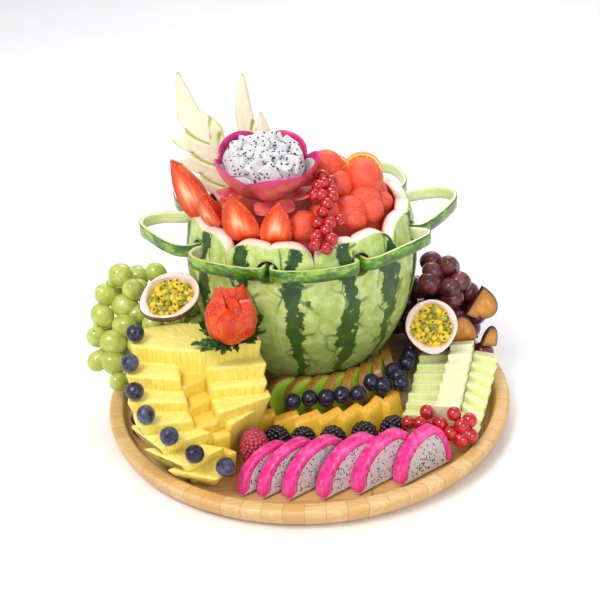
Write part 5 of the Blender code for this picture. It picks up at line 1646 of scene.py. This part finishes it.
def buildPlums():
    finish = plumFinish()
    rows = {"plum_2": (10.0, 4.0, -12.0, 14, 30, 5), "plum_3": (18.0, 0.0, 12.0, 9, 22, 5),
            "plum_1": (10.0, 8.0, 125.0, 17, 28, 6)}
    for name, (heading, lean, roll, half, height, thick) in rows.items():
        made = slab(halfDisc(half, height, 36, 16), thick, edge=1.2, dome=0.8)
        made = placed(made, pose((0, 0, 0), heading, lean, roll))
        makePiece(name.replace("_", "Slice"), matched(made, name), [name], finish, crease=40)
    shapes = []
    for k, (x, y) in enumerate(((-157, -28), (-153, -50))):
        made = slab(halfDisc(15, 20, 36, 16), 5, edge=1.2, dome=0.6)
        shapes.append(placed(made, pose((x, y, 16 + 2 * k), 98.0 + 6 * k, 80.0)))
    makePiece("plumsLeft", matched(joined(shapes), "plums_left"), ["plums_left"], finish, crease=40)


# kiwi slices standing in a row

def kiwiFinish():
    look = {"core": "eef2c0", "inner": "c2dc58", "main": "93c22c", "deep": "a8cf36", "skin": "7c5222",
            "seed": "1c1a12", "skinLight": "c9933f", "skinGreen": "8fa83a"}
    made, shader = newFinish("kiwiSlice", 0.28, Subsurface_Weight=0.1, Subsurface_Scale=0.003)
    place = read(shader, "local")
    zone = read(shader, "zone")
    x, _, z = parts(place)
    angle = calc("ARCTAN2", z, x)
    ray = cloudy(together(angle * 7.0, zone * 0.5, 0.0), 1.8, 3.0, 0.6)
    warped = zone + (ray - 0.5) * 0.35
    # painted light: the outer ring of each face, keyed deep, is brighter than the main flesh, standing in
    # for the lit top edges of the slices
    face = ramp(warped, [(0.14, look["core"]), (0.28, look["inner"]), (0.55, look["main"]),
                         (0.85, look["deep"])])
    seedCell = cells(together(angle * 5.2, zone * 5.0, 0.0), 1.5, chance=0.6)
    ringZone = calc("COMPARE", zone, 0.40, 0.14)
    seed = under(seedCell, 0.17) * ringZone
    face = mixed(seed, face, look["seed"])
    isSkin = between(zone, 0.975, 0.99)
    brown = mixed(cloudy(place, 0.4, 4.0, 0.6), look["skin"], look["skinLight"])
    side = mixed(between(cloudy(place, 0.12, 2.0, 0.5), 0.55, 0.75, 0.6), brown, look["skinGreen"])
    colourOf(shader, mixed(isSkin, face, side))
    relief(shader, ray + seed, 0.35, 0.0006)
    return made


def buildKiwi():
    shapes = []
    turn = aroundCircle(56)
    for k in range(8):
        a = -11.0 + 10.4 * k  # round the melon, from its front
        made = slab(np.stack([22.0 * np.cos(turn), 22.0 * np.sin(turn)], -1), 10.0, edge=1.4, dome=0.3)
        made = roughened(made, 0.4, 0.09, k)
        shapes.append(placed(made, pose(polar(a, 100.0, 34.2), a + 33.0, 14.0)))
    shape = matched(joined(shapes), "kiwi_slices")
    makePiece("kiwiSlices", shape, ["kiwi_slices"], kiwiFinish(), crease=50)


# wedges of mango in a row: angle round the melon, half width, height

mangoPieces = [(-19, 13, 31), (-10, 15, 30), (-1, 16, 30), (8, 16, 30), (17, 16, 30), (27, 15, 31),
               (36, 14, 31)]


def mangoFinish():
    look = {"light": "ffe05a", "main": "fdcc2e", "orange": "fabf34", "brown": "f2a43a", "gold": "f4c646"}
    made, shader = newFinish("mangoFlesh", 0.32, Subsurface_Weight=0.15, Subsurface_Scale=0.004)
    place = read(shader, "local")
    z = parts(place)[2]
    tone = read(shader, "tone")
    moved = movedBy(place, tone, 9.0)
    cloud = cloudy(moved, 1.1, 3.0, 0.55)
    fibre = cloudy(stretched(moved, (9.0, 9.0, 1.6)), 1.1, 4.0, 0.6)
    colour = ramp(cloud, [(0.36, look["light"]), (0.54, look["main"]), (0.72, look["orange"])])
    colour = mixed(fibre * 0.3, colour, look["light"])
    # partly the flesh's own orange tint and partly painted shade: the top faces are mixed towards
    # orange-brown and gold
    top = between(calc("MULTIPLY_ADD", cloud, 0.25, z), 0.90, 1.06)
    edge = ramp(cloudy(moved, 3.2, 3.0, 0.6), [(0.4, look["brown"]), (0.6, look["gold"])])
    colourOf(shader, mixed(top, colour, edge))
    relief(shader, fibre, 0.35, 0.0008)
    return made


def buildMango():
    draw = random.Random(14)
    shapes = []
    for k, (angle, half, height) in enumerate(mangoPieces):
        low = [(-half, -9, 0), (half, -9, 0), (half, 8, 0), (-half, 8, 0)]
        top = [(-half + 2, -4.5, height - 6), (half - 2, -4, height - 2), (half - 3, 6, height),
               (-half + 3, 6, height - 4)]
        one = block(low, top, 3.2, 6, draw.random())
        one = roughened(one, 0.5, 0.08, k)
        shapes.append(placed(one, pose(polar(angle, 134.0, 10.3), angle + 22.0)))
    makePiece("mangoWedges", joined(shapes), ["mango"], mangoFinish(), crease=0)


# brambles and the raspberry: drupelets on a berry

drupeletLooks = {
    "bramble": {"deep": "0d0810", "main": "1c1020", "light": "3a2038", "roughness": 0.16},
    "raspberry": {"deep": "8e1a34", "main": "bd324e", "light": "dc6a7e", "roughness": 0.34},
}


def drupeletFinish(kind):
    look = drupeletLooks[kind]
    made, shader = newFinish(kind + "Skin", look["roughness"], Coat_Weight=0.35, Coat_Roughness=0.1,
                             Subsurface_Weight=0.08, Subsurface_Scale=0.002)
    place = read(shader, "local")
    tone = read(shader, "tone")
    moved = movedBy(place, tone, 23.0)
    cloud = cloudy(moved, 1.2, 3.0, 0.6)
    colour = ramp(cloud, [(0.32, look["deep"]), (0.52, look["main"]), (0.74, look["light"])])
    colour = mixed(tone * 0.4, colour, look["deep"])
    colourOf(shader, colour)
    relief(shader, cloud, 0.15, 0.0003)
    return made


def drupes(radius, height, size, draw):
    shapes = [orb((radius * 0.84, radius * 0.84, height * 0.86), 20, 12, 0.9)]  # the core
    rows = max(5, round(math.pi * height / (1.72 * size)))
    for row in range(rows):
        a = math.pi * (row + 0.5) / rows
        around = max(3, round(2 * math.pi * radius * math.sin(a) / (1.86 * size)))
        for k in range(around):
            b = 2 * math.pi * (k + 0.5 * (row % 2)) / around + draw.uniform(-0.08, 0.08)
            way = np.array([math.sin(a) * math.cos(b), math.sin(a) * math.sin(b), -math.cos(a)])
            p = way * np.array([radius, radius, height]) * 0.86
            s = size * draw.uniform(0.9, 1.08)
            shapes.append(shifted(orb((s, s, s), 10, 7, draw.random()), p))
    return joined(shapes)


def buildDrupes():
    draw = random.Random(31)
    black = drupeletFinish("bramble")
    for k in range(5):
        name = f"bramble_{k + 1}"
        tilt = tumbled(draw, 0.5)
        shape = matched(placed(drupes(12.0, 13.4, 2.75, draw), tilt), name, foot=True)
        makePiece(name.replace("_", "Berry"), shape, [name], black, crease=0)
    red = drupeletFinish("raspberry")
    shape = matched(drupes(13.4, 20.9, 2.6, draw), "raspberry", foot=True)
    makePiece("raspberryWhole", shape, ["raspberry"], red, crease=0)


# dragon-fruit slices at the front: corner, heading, lean, length, place of the peak, height, thickness
dragonSlices = [((-64, -160), 35, 10, 68, 44, 34, 11), ((-45, -165), 35, 9, 72, 48, 38, 12),
                ((-22, -169), 36, 8, 76, 51, 40, 13), ((9, -171), 36, 8, 78, 52, 41, 14),
                ((40, -166), 36, 8, 76, 51, 41, 14), ((79, -157), 36, 8, 62, 43, 41, 14)]


def dragonSliceFinish():
    look = {"band": "ea2f8a", "light": "f565b0", "deep": "cf1c78", "line": "a8165a", "pale": "e0dada",
            "grey": "aaa1a2", "flesh": "c9bfbd", "blush": "fba6cf", "seed": "17141a"}
    made, shader = newFinish("dragonSlice", 0.34, Subsurface_Weight=0.12, Subsurface_Scale=0.003)
    place = read(shader, "local")
    zone = read(shader, "zone")
    cloud = cloudy(place, 0.07, 4.0, 0.6)
    grain = cloudy(place, 0.4, 4.0, 0.65)
    # partly the seeded flesh's own tone and partly painted shade: the cut faces are coloured from grey to
    # pale
    flesh = ramp(grain, [(0.3, look["grey"]), (0.5, look["flesh"]), (0.7, look["pale"])])
    skin = ramp(cloud, [(0.32, look["deep"]), (0.5, look["band"]), (0.68, look["light"])])
    streak = cloudy(stretched(place, (1.0, 1.0, 0.3)), 0.22, 3.0, 0.6)
    skin = mixed(between(streak, 0.52, 0.7, 0.4), skin, look["blush"])
    wavy = calc("MULTIPLY_ADD", streak - 0.5, 0.05, zone)
    edge = between(wavy, 0.80, 0.82)
    colour = mixed(edge, flesh, look["line"])
    outer = between(wavy, 0.83, 0.85)
    colour = mixed(outer, colour, skin)
    colour = mixed(over(zone, 1.5), colour, look["seed"])
    colourOf(shader, colour)
    relief(shader, grain + cloud, 0.35, 0.0008)
    return made


def buildDragonSlices():
    finish = dragonSliceFinish()
    for k, (corner, heading, lean, length, peak, height, thickness) in enumerate(dragonSlices):
        rng = random.Random(40 + k)
        rise = np.linspace(0, math.pi / 2, 30)
        fall = np.linspace(0, math.pi / 2, 20)[1:]
        outline = [(peak * (1 - math.cos(a)), height * math.sin(a)) for a in rise]
        outline += [(peak + (length - peak) * math.sin(a), height * math.cos(a)) for a in fall]
        floor = [(x, 0.0) for x in np.linspace(length, 0, 40)[1:-1]]
        outline = np.array(outline + floor)
        made = slab(outline, thickness, edge=1.6, spread=18)
        column = np.arange(len(made["points"])) % len(outline)
        isFloor = (column > len(rise) + len(fall)) | (column < 1)
        made["zone"] = np.where(isFloor, np.minimum(made["zone"], 0.7), made["zone"])
        points, normals = [], []
        middle = outline.mean(0)
        while len(points) < 62:
            target = outline[rng.randrange(len(outline))]
            p = middle + (target - middle) * math.sqrt(rng.random()) * 0.77
            if p[1] > 1.5:
                points.append((p[0], 0.05, p[1]))
                normals.append((0, -1, 0))
        seedSize = (1.0, 0.65, 0.45)
        seeds = seeded(points, normals, rng, seedSize)
        rearPoints = [(x, thickness - 0.05, z) for x, _, z in points]
        rear = seeded(rearPoints, [(0, 1, 0)] * len(points), rng, seedSize)
        lift = thickness * math.sin(math.radians(lean))
        where = pose((corner[0], corner[1], 10.3 + lift), heading, lean)
        shape = placed(joined([made, seeds, rear]), where)
        name = f"dragon_slice_{k + 1}"
        makePiece(name.replace("_", ""), matched(shape, name), [name], finish, crease=50)


# honeydew in stepped columns: two upper corners at the back, and two at the front

honeydew = {
    "honeydew_left": (((116, 19, 50), (146, 18, 50)), ((87, -76, 33), (115, -82, 33))),
    "honeydew_middle": (((147, 18, 61), (169.4, 19, 61)), ((116, -82, 45), (139, -86, 45))),
    "honeydew_right": (((170, 19, 49), (196, 14, 46)), ((139.5, -87, 36), (155, -104, 26))),
}


def honeydewFinish():
    look = {"white": "f9f8de", "pale": "eff2bc", "green": "dfe892", "rind": "c8d96c"}
    made, shader = newFinish("honeydewFlesh", 0.34, Subsurface_Weight=0.25, Subsurface_Scale=0.005)
    place = read(shader, "local")
    tone = read(shader, "tone")
    zone = read(shader, "zone")
    grain = cloudy(place, 0.35, 5.0, 0.7)
    broad = cloudy(place, 0.05, 2.0, 0.5)
    colour = ramp(grain, [(0.3, look["green"]), (0.48, look["pale"]), (0.66, look["white"])])
    colour = mixed(tone, colour, look["white"])
    colour = mixed(between(zone, 0.2, 1.0, 0.6), colour, look["rind"])
    colour = mixed(broad * 0.2, colour, look["green"])
    colourOf(shader, colour)
    relief(shader, grain, 0.15, 0.0006)
    return made


def buildHoneydew():
    draw = random.Random(17)
    finish = honeydewFinish()
    for name, (rear, front) in honeydew.items():
        shapes = []
        for k in range(7):
            ends = []
            for share, rise in ((k / 7, -2.2), ((k + 1) / 7 + 0.012, 2.4)):
                for a, b in zip(rear, front):
                    corner = np.array(a) + (np.array(b) - np.array(a)) * share
                    corner[2] = a[2] + (b[2] - a[2]) * (k + 0.5) / 7 + rise
                    ends.append(corner)
            backLeft, backRight, frontLeft, frontRight = ends
            jog = 0.5 if k % 2 and name != "honeydew_right" else 0.0
            top = [p + np.array([jog, 0, 0]) for p in (frontLeft, frontRight, backRight, backLeft)]
            low = []
            for p in top:
                pull = min(1.0, 176.5 / math.hypot(p[0], p[1]))
                low.append((p[0] * pull, p[1] * pull, 10.3))
            one = block(low, top, 1.3, 6, 0.75 if name == "honeydew_middle" else 0.0)
            riser = np.clip(-outwardOf(one["points"], one["faces"])[:, 1] * 1.6 - 0.3, 0, 1)
            side = np.clip(one["local"][:, 0], 0, 1) ** 6 * (0.8 if name == "honeydew_right" else 0.3)
            one["zone"] = np.maximum(riser * (0.45 if name == "honeydew_middle" else 0.75), side)
            one["local"] = one["points"].copy()
            shapes.append(roughened(one, 0.15, 0.12, k + draw.random()))
        makePiece(name.replace("_", ""), joined(shapes), [name], finish, crease=0)


# room: floor, lights and camera

def buildRoom():
    look = {"floor": "f3f3f4", "floorLight": "f8f8f8", "air": (0.97, 0.98, 1.0, 1.0), "airStrength": 0.7}
    bpy.ops.mesh.primitive_plane_add(size=14.0, location=(0, 3.0, -0.0002))
    floor = bpy.context.object
    floor.name = "floor"
    made, shader = newFinish("floorPaint", 0.55)
    place = addTo(shader.id_data, "NewGeometry", {}, "Position")
    colourOf(shader, ramp(cloudy(place, 3.0, 4.0, 0.5), [(0.3, look["floor"]), (0.7, look["floorLight"])]))
    floor.data.materials.append(made)
    world = bpy.data.worlds.new("room")
    world.use_nodes = True
    back = world.node_tree.nodes["Background"]
    back.inputs["Color"].default_value = look["air"]
    back.inputs["Strength"].default_value = look["airStrength"]
    bpy.context.scene.world = world
    lights = [("keyLight", (-0.8, -0.8, 1.7), 0.9, 22.0, (1.0, 0.98, 0.95)),
              ("fillLight", (0.8, -1.7, 0.9), 1.4, 9.0, (0.97, 0.98, 1.0)),
              ("backLight", (0.3, 1.5, 1.5), 1.2, 12.0, (1.0, 1.0, 1.0))]
    for name, place, size, power, colour in lights:
        data = bpy.data.lights.new(name, "AREA")
        data.shape = "DISK"
        data.size = size
        data.energy = power
        data.color = colour
        lamp = bpy.data.objects.new(name, data)
        lamp.location = place
        lamp.rotation_euler = (Vector((0, 0, 0.1)) - Vector(place)).to_track_quat("-Z", "Y").to_euler()
        bpy.context.scene.collection.objects.link(lamp)
    data = bpy.data.cameras.new("photoCamera")
    data.sensor_width = 36.0
    data.lens = 70.8
    camera = bpy.data.objects.new("photoCamera", data)
    e = math.radians(27.83)  # how far above the tray the photo was taken
    towards = Vector((0, -math.cos(e), math.sin(e)))  # from the tray to the camera
    right = Vector((1, 0, 0))
    up = Vector((0, math.sin(e), math.cos(e)))
    centre = right * -0.0043 + up * 0.1086 + towards * 1.2
    turn = Matrix((right, up, towards)).transposed().to_4x4()
    camera.matrix_world = Matrix.Translation(centre) @ turn @ turned(-2.80, "Z")
    bpy.context.scene.collection.objects.link(camera)
    bpy.context.scene.camera = camera
    bpy.context.scene.view_settings.view_transform = "Standard"


buildTray()
buildMelon()
buildStrips()
print("basket and tray built")
buildMelonBalls()
buildFlower()
buildLeaves()
strawberryFlesh = strawberryFinish()
buildStrawberries(strawberryFlesh)
buildOranges()
buildCurrants()
print("fruit in the basket built")
buildPineapple()
buildBlueberries()
buildRose(strawberryFlesh)
buildSprig()
buildPassion()
buildGrapes("green", greenGrapes, greenCore, 11.5, 3)
buildGrapes("red", redGrapes, redCore, 11.2, 6)
buildPlums()
print("fruit beside the basket built")
buildKiwi()
buildMango()
buildDrupes()
buildDragonSlices()
buildHoneydew()
print("rows in front built")
buildRoom()
bpy.context.view_layer.update()
